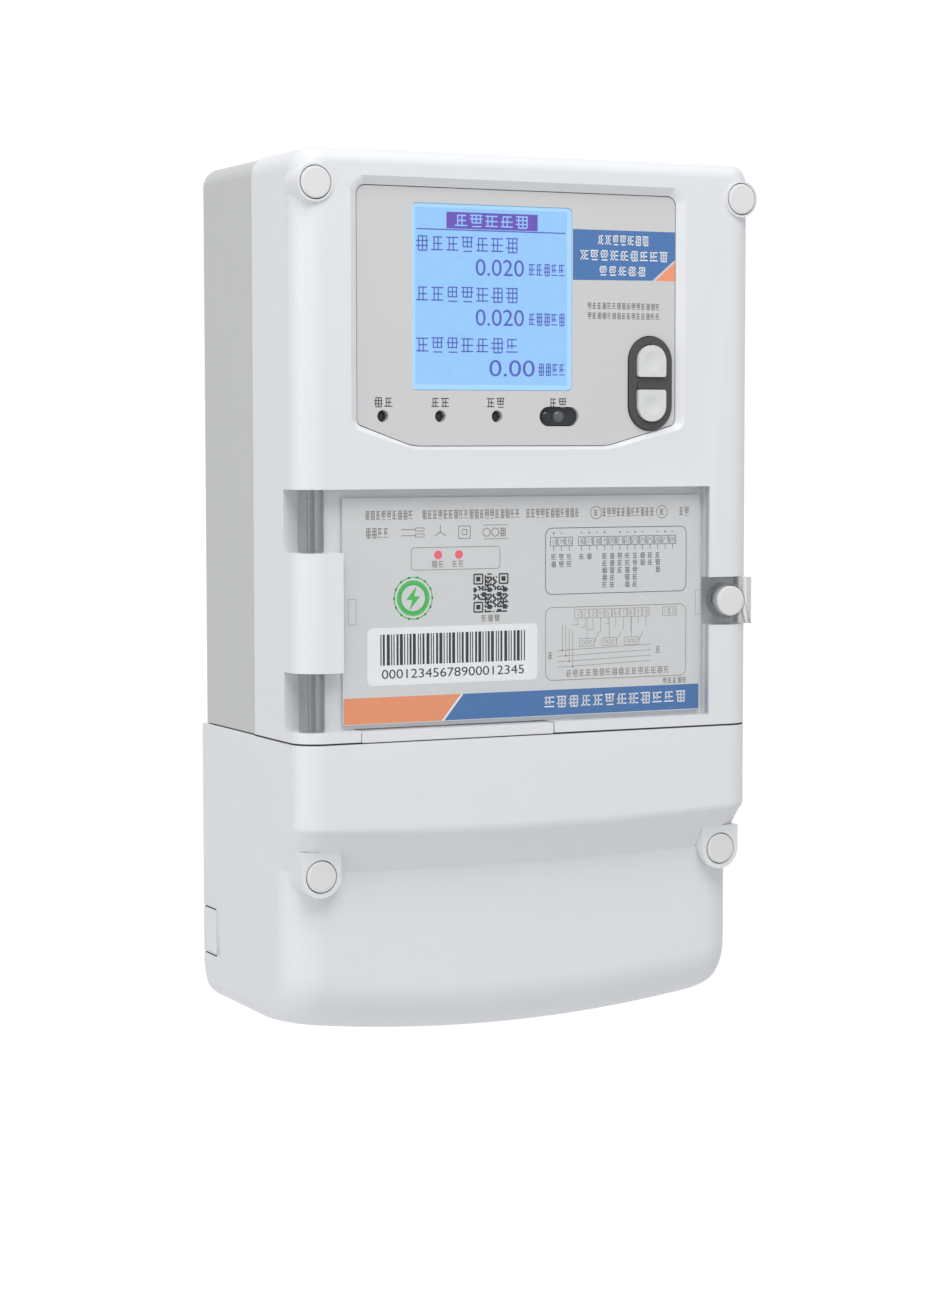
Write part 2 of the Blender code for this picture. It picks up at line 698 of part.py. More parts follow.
def make_front_cover():
    back = -REAR_DEPTH - GAP
    cover = slab("front_cover", "Y", [arch(0, SEAM, TOP_CORNER)], FRONT, back, "cover_white")
    round_edges(cover, FRONT_ROUND, above_at_y(FRONT, WALL))
    room = arch(WALL, SEAM + WALL, TOP_CORNER - WALL)
    cut(cover, slab("cover_room", "Y", [room], FRONT + WALL, back + CUT_PAST))

    panel_plate = panel_outline(-WALL, -WALL)
    join(cover, slab("panel_plate", "Y", [panel_plate], FRONT + HALF_LAP, PANEL_BACK))
    inner = panel_outline(PANEL_BEVEL, PANEL_LOW_BEVEL)
    lead = -PANEL_LEAD / PANEL_BEVEL_DEPTH
    wide = panel_outline(lead * PANEL_BEVEL, lead * PANEL_LOW_BEVEL)
    bevel_back = FRONT + PANEL_BEVEL_DEPTH
    cut(cover, funnel("panel_slope", (wide, FRONT - PANEL_LEAD), (inner, bevel_back), (inner, PANEL_SEAT)))
    through = (FRONT, PANEL_BACK + CUT_PAST)
    across = (LCD_X[0] + LCD_LEDGE, LCD_X[1] - LCD_LEDGE)
    ledge = rectangle(across, (LCD_Z[0] + LCD_LEDGE, LCD_Z[1] - LCD_LEDGE), LCD_CORNER)
    cut(cover, slab("lcd_hole", "Y", [ledge], *through))
    cut(cover, slab("bezel_hole", "Y", [bezel_outline(GAP)], *through))
    cut(cover, slab("ir_hole", "Y", [ir_outline(0)], *through))
    for number, x in enumerate(led_places(), 1):
        start, end = (x, through[0], LED_Z), (x, through[1], LED_Z)
        cut(cover, rod(f"led_hole_{number}", "Y", start, end, LED_HOLE))
    post_end = DISPLAY_BOARD_FRONT - GAP
    for number, (x, z) in enumerate(display_posts(), 1):
        start, end = (x, PANEL_SEAT + HALF_LAP, z), (x, post_end, z)
        join(cover, rod(f"display_post_{number}", "Y", start, end, POST_RADIUS))
        start, end = (x, post_end - POST_SCREW_LENGTH / 2, z), (x, post_end + WALL, z)
        cut(cover, rod(f"display_hole_{number}", "Y", start, end, POST_SCREW_RADIUS + GAP))

    left, rim = -SIDE, WALL
    floor_back = LABEL_SEAT + LABEL_FLOOR
    low = (left + POCKET_WIDTH + rim, FRONT + LABEL_LAP * rim, DOOR_BOTTOM - rim)
    join(cover, box("label_floor", low, (DOOR_RIGHT + rim, floor_back, DOOR_TOP + rim)))
    pocket_back = FRONT + POCKET_DEPTH
    low = (left + HALF_LAP, FRONT + HINGE_LAP * rim, SEAM + LABEL_LAP * rim)
    high = (left + BRIDGE_WIDTH + rim, pocket_back + rim, DOOR_TOP + rim + SILL_LAP * rim)
    join(cover, box("hinge_block", low, high))
    low = (DOOR_RIGHT - HALF_LAP, FRONT + HALF_LAP, NOTCH_LOW - rim)
    high = (SIDE - HALF_LAP, FRONT + NOTCH_DEPTH + 3 * rim, NOTCH_HIGH + rim)
    join(cover, box("notch_block", low, high))
    sill = (-SIDE + SILL_FROM_LEFT, SIDE - SILL_FROM_RIGHT)
    sill_back = FRONT + SILL_DEPTH + GAP
    low = (sill[0] - rim, floor_back - SILL_LAP * rim, SEAM + SILL_LAP * rim)
    join(cover, box("sill_block", low, (sill[1] + rim, sill_back + rim, DOOR_BOTTOM + rim)))
    past_left, past_front = left - CUT_PAST, FRONT - CUT_PAST
    pocket_right = left + POCKET_WIDTH
    bridge_right = left + BRIDGE_WIDTH
    door_room = [
        (bridge_right, BRIDGE_LOW),
        (pocket_right - GAP, BRIDGE_LOW),
        (pocket_right - GAP, DOOR_BOTTOM),
        (DOOR_RIGHT, DOOR_BOTTOM),
        (DOOR_RIGHT, NOTCH_LOW),
        (DOOR_RIGHT + CUT_PAST, NOTCH_LOW),
        (DOOR_RIGHT + CUT_PAST, NOTCH_HIGH),
        (DOOR_RIGHT, NOTCH_HIGH),
        (DOOR_RIGHT, DOOR_TOP),
        (pocket_right - GAP, DOOR_TOP),
        (pocket_right - GAP, BRIDGE_HIGH),
        (bridge_right, BRIDGE_HIGH),
    ]
    cut(cover, slab("door_room", "Y", [door_room], past_front, LABEL_SEAT))
    for part, low, high in (("upper", BRIDGE_HIGH, DOOR_TOP), ("lower", DOOR_BOTTOM, BRIDGE_LOW)):
        cut(cover, box(f"{part}_pocket", (past_left, past_front, low), (pocket_right, pocket_back, high)))
    low = (DOOR_RIGHT, past_front, NOTCH_LOW)
    cut(cover, box("notch", low, (SIDE + CUT_PAST, FRONT + NOTCH_DEPTH, NOTCH_HIGH)))
    x, z = DOOR_BOSS
    bore_start = FRONT + NOTCH_DEPTH - WALL
    cut(cover, rod("door_bore", "Y", (x, bore_start, z), (x, bore_start + 5 * WALL, z), BORE_RADIUS))
    pin_low, pin_high = DOOR_BOTTOM - PIN_GRIP, DOOR_TOP + rim + CUT_PAST
    start, end = (HINGE_X, HINGE_Y, pin_low), (HINGE_X, HINGE_Y, pin_high)
    cut(cover, rod("pin_bore", "Z", start, end, PIN_RADIUS + PIN_PLAY))
    low, high = (sill[0], past_front, -CUT_PAST), (sill[1], sill_back, DOOR_BOTTOM + SILL_SLOT_LAP)
    cut(cover, box("sill_slot", low, high))

    for side, sign in SIDES.items():
        x, z = sign * TOP_BOSS[0], TOP_BOSS[1]
        face = FRONT - TOP_BOSS_PROUD
        back = face + BOSS_LENGTH
        start, end = (x, face, z), (x, back, z)
        narrow = BOSS_RADIUS - BOSS_TAPER
        join(cover, rod(f"top_boss_{side}", "Y", start, end, narrow, end_radius=BOSS_RADIUS))
        start, end = (x, face - WALL, z), (x, face + RECESS_DEPTH, z)
        cut(cover, rod(f"top_recess_{side}", "Y", start, end, RING_RADIUS))
        cut(cover, rod(f"top_way_{side}", "Y", (x, face, z), (x, back + WALL, z), BORE_RADIUS))
    return cover


def make_gasket():
    near, far = WALL + GAP, WALL + GAP + GASKET_WIDTH
    outer = arch(CASE_STEP + near, SEAM + near, TOP_CORNER - near)
    inner = arch(CASE_STEP + far, SEAM + far, TOP_CORNER - far)
    span = (-REAR_DEPTH - WALL, -REAR_DEPTH + WALL)
    gasket = slab("cover_gasket", "Y", [outer, inner], *span, "gasket_rubber")
    ends = {}
    for side, sign in SIDES.items():
        x, z = sign * TOP_BOSS[0], TOP_BOSS[1]
        ends[side] = ((x, span[0] + GAP, z), (x, span[1] - GAP, z))
        join(gasket, rod(f"gasket_eye_{side}", "Y", *ends[side], PILLAR_RADIUS + GASKET_WIDTH + GAP))
    keep(gasket, slab("gasket_limit", "Y", [outer], -REAR_DEPTH - 2 * WALL, -REAR_DEPTH + 2 * WALL))
    for side, (start, end) in ends.items():
        past = Vector((0, CUT_PAST, 0))
        start, end = Vector(start) - past, Vector(end) + past
        cut(gasket, rod(f"gasket_notch_{side}", "Y", start, end, PILLAR_RADIUS + GAP))
    return gasket


def make_display():
    fascia_back = FASCIA_FRONT + FASCIA_THICK
    window = rectangle(LCD_X, LCD_Z, LCD_CORNER)
    outer = panel_outline(PANEL_BEVEL + GAP, PANEL_LOW_BEVEL + GAP)
    loops = [outer, window, bezel_outline(GAP), ir_outline(0)]
    fascia = slab("fascia", "Y", loops, FASCIA_FRONT, fascia_back, "fascia_grey")
    for number, x in enumerate(led_places(), 1):
        start, end = (x, FASCIA_FRONT - WALL, LED_Z), (x, fascia_back + WALL, LED_Z)
        cut(fascia, rod(f"fascia_hole_{number}", "Y", start, end, LED_HOLE))
    (left, right), (low_z, high_z) = LCD_X, LCD_Z
    pane = rectangle((left + GAP, right - GAP), (low_z + GAP, high_z - GAP), LCD_CORNER)
    slab("lcd_window", "Y", [pane], FASCIA_FRONT, fascia_back, "clear")
    box("lcd_glass", (left, GLASS_FRONT, low_z), (right, GLASS_FRONT + LCD_GLASS, high_z), "display_blue")
    low, high = (left, LIGHT_FRONT, low_z), (right, LIGHT_FRONT + BACKLIGHT, high_z)
    box("lcd_backlight", low, high, "backlight_white")
    hole = rectangle((left - GAP, right + GAP), (low_z - GAP, high_z + GAP))
    border = LCD_FRAME_BORDER
    around = rectangle((left - border, right + border), (low_z - border, high_z + border), LCD_CORNER)
    slab("lcd_frame", "Y", [around, hole], GLASS_FRONT, DISPLAY_BOARD_FRONT - GAP, "dark_plastic")
    low = (PANEL_X[0], DISPLAY_BOARD_FRONT, PANEL_Z[0] + PANEL_BEVEL)
    high = (PANEL_X[1], DISPLAY_BOARD_FRONT + BOARD_THICK, LCD_Z[1] + LCD_FRAME_BORDER)
    board = box("display_board", low, high, "board_green")
    for number, (x, z) in enumerate(display_posts(), 1):
        start, end = (x, low[1] - WALL, z), (x, high[1] + WALL, z)
        cut(board, rod(f"board_hole_{number}", "Y", start, end, POST_SCREW_RADIUS + GAP))
        back = high[1] + GAP
        profile = [
            (0, POST_SCREW_HEIGHT),
            (POST_SCREW_HEAD, POST_SCREW_HEIGHT),
            (POST_SCREW_HEAD, 0),
            (POST_SCREW_RADIUS, 0),
            (POST_SCREW_RADIUS, -POST_SCREW_LENGTH / 2),
            (0, -POST_SCREW_LENGTH / 2),
        ]
        screw = turned(f"display_screw_{number}", "Y", (x, back, z), profile, "steel", SCREW_SIDES)
        screw.rotation_euler.x = -screw.rotation_euler.x


def make_indicators():
    for number, x in enumerate(led_places(), 1):
        back = DISPLAY_BOARD_FRONT - GAP
        length = back - FASCIA_FRONT - GAP
        collar_top = back - PANEL_BACK - GAP
        thin = LED_HOLE - GAP
        profile = [
            (0, length),
            (thin, length),
            (thin, collar_top),
            (LED_COLLAR, collar_top),
            (LED_COLLAR, 0),
            (0, 0),
        ]
        turned(f"light_pipe_{number}", "Y", (x, back, LED_Z), profile, "clear")
    slab("ir_window", "Y", [ir_outline(GAP)], FASCIA_FRONT + GAP, PANEL_BACK, "dark_plastic")


def make_buttons():
    loops = [bezel_outline(0), button_outline("up", 0), button_outline("down", 0)]
    slab("button_bezel", "Y", loops, FASCIA_FRONT - BEZEL_PROUD, PANEL_BACK, "dark_plastic")
    front = FASCIA_FRONT - BUTTON_PROUD
    flange_front = PANEL_BACK + GAP
    flange_back = flange_front + BUTTON_FLANGE
    plunger_front = flange_back + BUTTON_TRAVEL + PLUNGER_PLAY
    switch_back = DISPLAY_BOARD_FRONT - GAP
    middle = BEZEL_X + BEZEL_WIDTH / 2
    for part, sign in (("up", 1), ("down", -1)):
        outline = button_outline(part, -BUTTON_PLAY)
        button = slab(f"button_{part}", "Y", [outline], front, flange_back, "button_grey")
        round_edges(button, BUTTON_ROUND, at_y(front), segments=2)
        grown = button_outline(part, BUTTON_FLANGE)
        join(button, slab(f"flange_{part}", "Y", [grown], flange_front, flange_back))
        height = BEZEL_Z + BEZEL_HEIGHT / 2 + sign * (BUTTON_BAR / 2 + BEZEL_HEIGHT / 2 - BEZEL_BORDER) / 2
        hang_on(button, (middle, front, height))
        half = SWITCH_SIZE / 2
        low = (middle - half, switch_back - SWITCH_HEIGHT, height - half)
        switch = box(f"switch_{part}", low, (middle + half, switch_back, height + half), "dark_plastic")
        start, end = (middle, plunger_front, height), (middle, switch_back - SWITCH_HEIGHT / 2, height)
        join(switch, rod(f"plunger_{part}", "Y", start, end, PLUNGER_RADIUS, sides=SCREW_SIDES))


def make_door():
    low, high = DOOR_BOTTOM + GAP, DOOR_TOP - GAP
    arms = ((BRIDGE_HIGH + GAP, high), (low, BRIDGE_LOW - GAP))
    panel = [
        (DOOR_EDGE, arms[1][1]),
        (HINGE_X, arms[1][1]),
        (HINGE_X, low),
        (DOOR_RIGHT - GAP, low),
        (DOOR_RIGHT - GAP, NOTCH_LOW + GAP),
        (SIDE - DOOR_SUNK, NOTCH_LOW + GAP),
        (SIDE - DOOR_SUNK, NOTCH_HIGH - GAP),
        (DOOR_RIGHT - GAP, NOTCH_HIGH - GAP),
        (DOOR_RIGHT - GAP, high),
        (HINGE_X, high),
        (HINGE_X, arms[0][0]),
        (DOOR_EDGE, arms[0][0]),
    ]
    door = slab("clear_door", "Y", [panel], DOOR_FRONT, DOOR_BACK, "clear")
    flange_low = (SIDE - DOOR_SUNK - DOOR_THICK, DOOR_FRONT, NOTCH_LOW + GAP)
    flange_high = (SIDE - DOOR_SUNK, FRONT + NOTCH_DEPTH - 2 * GAP, NOTCH_HIGH - GAP)
    join(door, box("tab_flange", flange_low, flange_high))
    for number, (start, end) in enumerate(arms, 1):
        ends = ((HINGE_X, HINGE_Y, start), (HINGE_X, HINGE_Y, end))
        join(door, rod(f"barrel_{number}", "Z", *ends, BARREL_RADIUS))
    bore_radius = PIN_RADIUS + PIN_PLAY
    start, end = (HINGE_X, HINGE_Y, low - WALL), (HINGE_X, HINGE_Y, high + WALL)
    cut(door, rod("barrel_bore", "Z", start, end, bore_radius))
    x, z = DOOR_BOSS
    face, back = FRONT - GAP, FRONT + DOOR_BOSS_BACK
    floor = face + DOOR_RECESS
    join(door, rod("door_boss", "Y", (x, face, z), (x, back, z), DOOR_BOSS_RADIUS))
    start, end = (x, face - WALL, z), (x, floor, z)
    cut(door, rod("door_recess", "Y", start, end, RING_RADIUS - PIN_PLAY))
    cut(door, rod("door_way", "Y", start, (x, back + WALL, z), BORE_RADIUS))
    hang_on(door, (HINGE_X, HINGE_Y, (low + high) / 2))
    upper = (BRIDGE_HIGH - PIN_GRIP, DOOR_TOP + PIN_GRIP)
    lower = (DOOR_BOTTOM - PIN_GRIP + GAP, BRIDGE_LOW + PIN_GRIP)
    for part, (start, end) in {"upper": upper, "lower": lower}.items():
        ends = ((HINGE_X, HINGE_Y, start), (HINGE_X, HINGE_Y, end))
        rod(f"hinge_pin_{part}", "Z", *ends, PIN_RADIUS, "steel")
    end = -(FRONT + NOTCH_DEPTH + WALL)
    seal_screw("door_seal_screw", x, z, -floor, end, -face, DOOR_HEAD_PROUD - GAP)


def make_name_plate():
    margin = LABEL_MARGIN
    left, right = -SIDE + BRIDGE_WIDTH + margin, DOOR_RIGHT - margin
    low, high = DOOR_BOTTOM + margin, DOOR_TOP - LABEL_TOP_MARGIN
    box("name_plate", (left, LABEL_FRONT, low), (right, LABEL_SEAT - GAP, high), "label_silver")
    low = (-SIDE + SILL_FROM_LEFT + GAP, FRONT, SEAM)
    high = (SIDE - SILL_FROM_RIGHT - GAP, FRONT + SILL_DEPTH, DOOR_BOTTOM - GAP)
    box("sill_strip", low, high, "cover_white")


def cover_shell(name, inset, top, back, finish=None):
    """The terminal cover's outer form, or the form inside its walls, closed on all sides."""
    side = SIDE - inset
    front, lower = FRONT + inset, LOWER_FRONT + inset
    bottom = -DROP + inset
    upper_round, lower_round = UPPER_SIDE_ROUND - inset, LOWER_ROUND - inset
    flush, crease = -COVER_FLUSH + inset / 2, -CREASE + inset / 2
    plan = [(side, back, 0), (-side, back, 0), (-side, lower, lower_round), (side, lower, lower_round)]
    shell = slab(name, "Z", [rounded(plan)], bottom, top, finish)
    plan = [(side, back, 0), (-side, back, 0), (-side, front, upper_round), (side, front, upper_round)]
    brow = slab(name + "_brow", "Z", [rounded(plan)], crease, top)
    slope_past = (front - CUT_PAST, back + CUT_PAST)
    slope = [
        (slope_past[0], top + CUT_PAST),
        (slope_past[0], flush),
        (front, flush),
        (lower, crease),
        (slope_past[1], crease),
        (slope_past[1], top + CUT_PAST),
    ]
    keep(brow, slab(name + "_slope", "X", [slope], -SIDE - CUT_PAST, SIDE + CUT_PAST))
    join(shell, brow)
    past = top + CUT_PAST
    side_view = rounded(
        [
            (slope_past[0], past, 0),
            (slope_past[0], crease, 0),
            (lower, crease, 0),
            (lower, bottom, BOTTOM_FRONT_ROUND - inset),
            (back, bottom, BOTTOM_BACK_ROUND - inset),
            (back, past, 0),
        ]
    )
    keep(shell, slab(name + "_profile", "X", [side_view], -SIDE - CUT_PAST, SIDE + CUT_PAST))
    side_low = bottom + BOTTOM_ARC_RISE
    arc = []
    for step in range(BOW_STEPS + 1):
        x = -side + 2 * side * step / BOW_STEPS
        arc.append((x, bottom + (side_low - bottom) * (x / side) ** 2))
    arc += [(side + CUT_PAST, side_low + BOTTOM_SIDE_ROUND), (side + CUT_PAST, past)]
    arc += [(-side - CUT_PAST, past), (-side - CUT_PAST, side_low + BOTTOM_SIDE_ROUND)]
    keep(shell, slab(name + "_bow", "Y", [arc], slope_past[0], slope_past[1]))
    return shell


def make_terminal_cover():
    cover = cover_shell("terminal_cover", 0, -SEAM, 0, "cover_white")
    room = cover_shell("cover_hollow", WALL, CUT_PAST, CUT_PAST)
    cut(cover, room)
    entry_side = SIDE - ENTRY_MARGIN
    entry_low = (-entry_side, -ENTRY_DEPTH, -DROP - CUT_PAST)
    cut(cover, box("cable_entry", entry_low, (entry_side, CUT_PAST, -DROP + BOTTOM_BACK_ROUND + WALL)))
    face = LOWER_FRONT - LOW_BOSS_PROUD
    wall_back = LOWER_FRONT + WALL
    tube_end = BLOCK_FRONT - GAP
    for side, sign in SIDES.items():
        x, z = sign * LOW_BOSS[0], LOW_BOSS[1]
        radius = LOW_BOSS_RADIUS
        left, right, low, high = x - radius, x + radius, z - radius, z + radius
        round_end = radius - MERGE
        corners = [(left, low, round_end), (right, low, round_end), (right, high, 0), (left, high, 0)]
        boss = rounded(corners, LOW_BOSS_STEPS)
        join(cover, slab(f"low_boss_{side}", "Y", [boss], face, wall_back))
        join(cover, rod(f"low_tube_{side}", "Y", (x, LOWER_FRONT, z), (x, tube_end, z), LOW_TUBE_RADIUS))
        start, end = (x, face - WALL, z), (x, face + RECESS_DEPTH, z)
        cut(cover, rod(f"low_recess_{side}", "Y", start, end, RING_RADIUS))
        cut(cover, rod(f"low_way_{side}", "Y", start, (x, tube_end + WALL, z), BORE_RADIUS))
        outer = rectangle((-KNOCKOUT_DEPTH, 0), (-KNOCKOUT_LOW, -KNOCKOUT_HIGH))
        depth = (-KNOCKOUT_DEPTH + GROOVE, -GROOVE)
        inner = rectangle(depth, (-KNOCKOUT_LOW + GROOVE, -KNOCKOUT_HIGH - GROOVE))
        ends = sorted((sign * (SIDE - GROOVE), sign * (SIDE + CUT_PAST)))
        cut(cover, slab(f"knockout_groove_{side}", "X", [outer, inner], *ends))
    return cover


def make_seal_screws():
    for side, sign in SIDES.items():
        face = -(FRONT - TOP_BOSS_PROUD)
        end = face - BOSS_LENGTH - THREAD_GRIP
        x, z = sign * TOP_BOSS[0], TOP_BOSS[1]
        seal_screw(f"cover_seal_screw_{side}", x, z, face - RECESS_DEPTH, end, face, HEAD_PROUD)
        face = -(LOWER_FRONT - LOW_BOSS_PROUD)
        end = -BLOCK_FRONT - THREAD_GRIP
        x, z = sign * LOW_BOSS[0], LOW_BOSS[1]
        seal_screw(f"terminal_seal_screw_{side}", x, z, face - RECESS_DEPTH, end, face, HEAD_PROUD)


def make_terminals():
    low = (-BLOCK_SIDE, BLOCK_FRONT, -BLOCK_DROP)
    block = box("terminal_block", low, (BLOCK_SIDE, -BACK_WALL - GAP, -BLOCK_TOP), "block_black")
    head_radius = CHAMBER_HALF - TERMINAL_SCREW_SIDE
    clamp_front = -CHAMBER_BACK - GAP - CLAMP_THICK
    for number, x in enumerate(terminal_places(), 1):
        low = (x - CHAMBER_HALF, BLOCK_FRONT - CUT_PAST, -BLOCK_DROP - CUT_PAST)
        cut(block, box(f"chamber_{number}", low, (x + CHAMBER_HALF, -CHAMBER_BACK, -CHAMBER_TOP)))
        hole_end = (x, -CHAMBER_BACK + THREAD_GRIP / 2 + WALL, -TERMINAL_SCREW_DROP)
        hole_start = (x, -CHAMBER_BACK - CUT_PAST, -TERMINAL_SCREW_DROP)
        hole_radius = TERMINAL_SHANK + GAP
        cut(block, rod(f"screw_hole_{number}", "Y", hole_start, hole_end, hole_radius, sides=SCREW_SIDES))
        half = CHAMBER_HALF - GAP
        low = (x - half, clamp_front, -CLAMP_DROP)
        high = (x + half, -CHAMBER_BACK - GAP, -CHAMBER_TOP - GAP)
        contact = box(f"terminal_contact_{number}", low, high, "brass")
        head_back = clamp_front - WIRE_ROOM
        z = -TERMINAL_SCREW_DROP
        start, end = (x, head_back - TERMINAL_HEAD, z), (x, head_back, z)
        join(contact, rod(f"terminal_head_{number}", "Y", start, end, head_radius))
        start, end = (x, head_back - TERMINAL_HEAD / 2, z), (x, -CHAMBER_BACK + THREAD_GRIP / 2, z)
        join(contact, rod(f"terminal_shank_{number}", "Y", start, end, TERMINAL_SHANK, sides=SCREW_SIDES))
    for number, x in enumerate(bar_legs(), 1):
        low = (x - BAR_THICK / 2 - GAP, -BAR_CENTRE - BAR_WIDTH / 2 - GAP, -BAR_DROP - GAP)
        high = (x + BAR_THICK / 2 + GAP, -BAR_CENTRE + BAR_WIDTH / 2 + GAP, CUT_PAST)
        cut(block, box(f"leg_slot_{number}", low, high))
    side = SIDE - SMALL_INSET
    low = (-side, FRONT + SMALL_FRONT, -SMALL_DROP)
    small = box("auxiliary_terminals", low, (side, BLOCK_FRONT - GAP, -BLOCK_TOP), "block_black")
    pitch = 2 * (side - BLOCK_END) / SMALL_COUNT
    centre_y = (low[1] + BLOCK_FRONT) / 2
    for number in range(SMALL_COUNT):
        x = -side + BLOCK_END + pitch * (number + 0.5)
        start, end = (x, centre_y, -SMALL_DROP - CUT_PAST), (x, centre_y, -SMALL_DROP + SMALL_HOLE_DEPTH)
        cut(small, rod(f"small_wire_{number}", "Z", start, end, SMALL_HOLE, sides=SMALL_SIDES))
        height = -SMALL_DROP + SMALL_HOLE_DEPTH / 2
        start, end = (x, low[1] - CUT_PAST, height), (x, centre_y, height)
        cut(small, rod(f"small_screw_{number}", "Y", start, end, SMALL_HOLE, sides=SMALL_SIDES))


def make_current_path():
    places = terminal_places()
    for phase, first in zip("abc", PHASE_TERMINALS):
        left, right = places[first], places[first + 2]
        half = BAR_THICK / 2
        outline = [
            (left - half, -BAR_DROP),
            (left + half, -BAR_DROP),
            (left + half, BAR_RISE - BAR_THICK),
            (right - half, BAR_RISE - BAR_THICK),
            (right - half, -BAR_DROP),
            (right + half, -BAR_DROP),
            (right + half, BAR_RISE),
            (left - half, BAR_RISE),
        ]
        back = -BAR_CENTRE + BAR_WIDTH / 2
        slab(f"current_bar_{phase}", "Y", [outline], back - BAR_WIDTH, back, "copper")
        floor = SEAM + WALL + GAP
        profile = [
            (CORE_BORE, floor + CORE_HEIGHT),
            (CORE_RADIUS, floor + CORE_HEIGHT),
            (CORE_RADIUS, floor),
            (CORE_BORE, floor),
            (CORE_BORE, floor + CORE_HEIGHT),
        ]
        turned(f"current_transformer_{phase}", "Z", (left, -BAR_CENTRE, 0), profile, "core_blue")


def make_main_board():
    side = SIDE - BOARD_SIDE
    front, back = -BOARD_FRONT, -BOARD_FRONT + BOARD_THICK
    board = box("main_board", (-side, front, BOARD_LOW), (side, back, TOP - BOARD_HEAD_ROOM), "board_green")
    for number, (x, z) in enumerate(board_corners(), 1):
        start, end = (x, front - WALL, z), (x, back + WALL, z)
        cut(board, rod(f"main_hole_{number}", "Y", start, end, POST_SCREW_RADIUS + GAP))
        profile = [
            (0, POST_SCREW_HEIGHT),
            (POST_SCREW_HEAD, POST_SCREW_HEIGHT),
            (POST_SCREW_HEAD, 0),
            (POST_SCREW_RADIUS, 0),
            (POST_SCREW_RADIUS, -POST_SCREW_LENGTH),
            (0, -POST_SCREW_LENGTH),
        ]
        turned(f"board_screw_{number}", "Y", (x, front - GAP, z), profile, "steel", SCREW_SIDES)
    seat = front - GAP
    wide, deep, tall = SUPPLY_SIZE
    left, low_z = -side + 3 * POST_INSET, BOARD_LOW + 2 * POST_INSET
    low, high = (left, seat - deep, low_z), (left + wide, seat, low_z + tall)
    box("supply_transformer", low, high, "core_blue")
    x = side * BATTERY_FROM_MIDDLE
    z = low_z + BATTERY_RADIUS
    y = seat - BATTERY_RADIUS
    rod("clock_battery", "X", (x, y, z), (x + BATTERY_LENGTH, y, z), BATTERY_RADIUS, "cover_white")
    x = side * CAPACITOR_FROM_MIDDLE
    start, end = (x, seat, z), (x, seat - CAPACITOR_LENGTH, z)
    rod("backup_capacitor", "Y", start, end, CAPACITOR_RADIUS, "core_blue")
    wide, tall = LINK_SIZE
    low_z = (LCD_Z[0] + LCD_Z[1]) / 2
    start = DISPLAY_BOARD_FRONT + BOARD_THICK + GAP
    low, high = (PANEL_X[0] + wide, start, low_z), (PANEL_X[0] + 2 * wide, seat, low_z + tall)
    box("board_link", low, high, "dark_plastic")


clear_scene()
METER = make_collection("smart_meter", shown=True)
CUTTERS = make_collection("cutters", shown=False)
MATERIALS = make_materials()
make_rear_case()
make_hanger()
make_front_cover()
make_gasket()
make_display()
make_indicators()
make_buttons()
make_door()
make_name_plate()
make_terminal_cover()
make_seal_screws()
make_terminals()
make_current_path()
make_main_board()
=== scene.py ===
"""Looks of the wall-mounted electricity meter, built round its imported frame.

Row frame in metres: X to the right, Y into the wall, Z up, the front facing -Y. Every visible shell, cap,
button, window and printed plate is a finer piece that stands for its frame node. The inner nodes keep their
own shape.
"""

import math

import bmesh
import bpy
from mathutils import Matrix, Vector


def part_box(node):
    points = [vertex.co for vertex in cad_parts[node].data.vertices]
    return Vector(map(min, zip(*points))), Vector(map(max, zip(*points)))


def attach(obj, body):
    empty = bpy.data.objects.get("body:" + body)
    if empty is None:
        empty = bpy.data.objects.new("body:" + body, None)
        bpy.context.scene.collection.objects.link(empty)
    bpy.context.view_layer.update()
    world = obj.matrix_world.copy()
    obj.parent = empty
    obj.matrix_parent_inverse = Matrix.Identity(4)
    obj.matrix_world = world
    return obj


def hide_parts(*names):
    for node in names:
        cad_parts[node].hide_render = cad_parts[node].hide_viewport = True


MM = 0.001
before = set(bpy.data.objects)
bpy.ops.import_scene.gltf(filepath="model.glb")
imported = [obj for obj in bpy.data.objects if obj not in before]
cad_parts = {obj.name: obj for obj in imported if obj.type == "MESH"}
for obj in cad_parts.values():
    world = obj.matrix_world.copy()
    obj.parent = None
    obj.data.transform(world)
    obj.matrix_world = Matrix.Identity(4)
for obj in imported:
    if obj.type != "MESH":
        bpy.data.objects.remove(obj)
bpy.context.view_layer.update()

# Sizes shared with the frame.
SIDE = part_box("terminal_cover")[1].x
BOSS_PROUD = 0.6 * MM
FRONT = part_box("front_cover")[0].y + BOSS_PROUD
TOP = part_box("front_cover")[1].z
COVER_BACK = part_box("front_cover")[1].y
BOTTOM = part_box("terminal_cover")[0].z
SEAM = 0.40 * MM
WALL = 2.5 * MM
BACK_WALL = 4.5 * MM
GAP = 0.3 * MM
PAST = 2.0 * MM
TOP_CORNER = 7.0 * MM
SIDE_ROUND = 9.0 * MM
TOP_ROUND = 5.0 * MM
CASE_STEP = 0.5 * MM
CASE_ROUND = 4.5 * MM
CASE_FRONT = -49.8 * MM

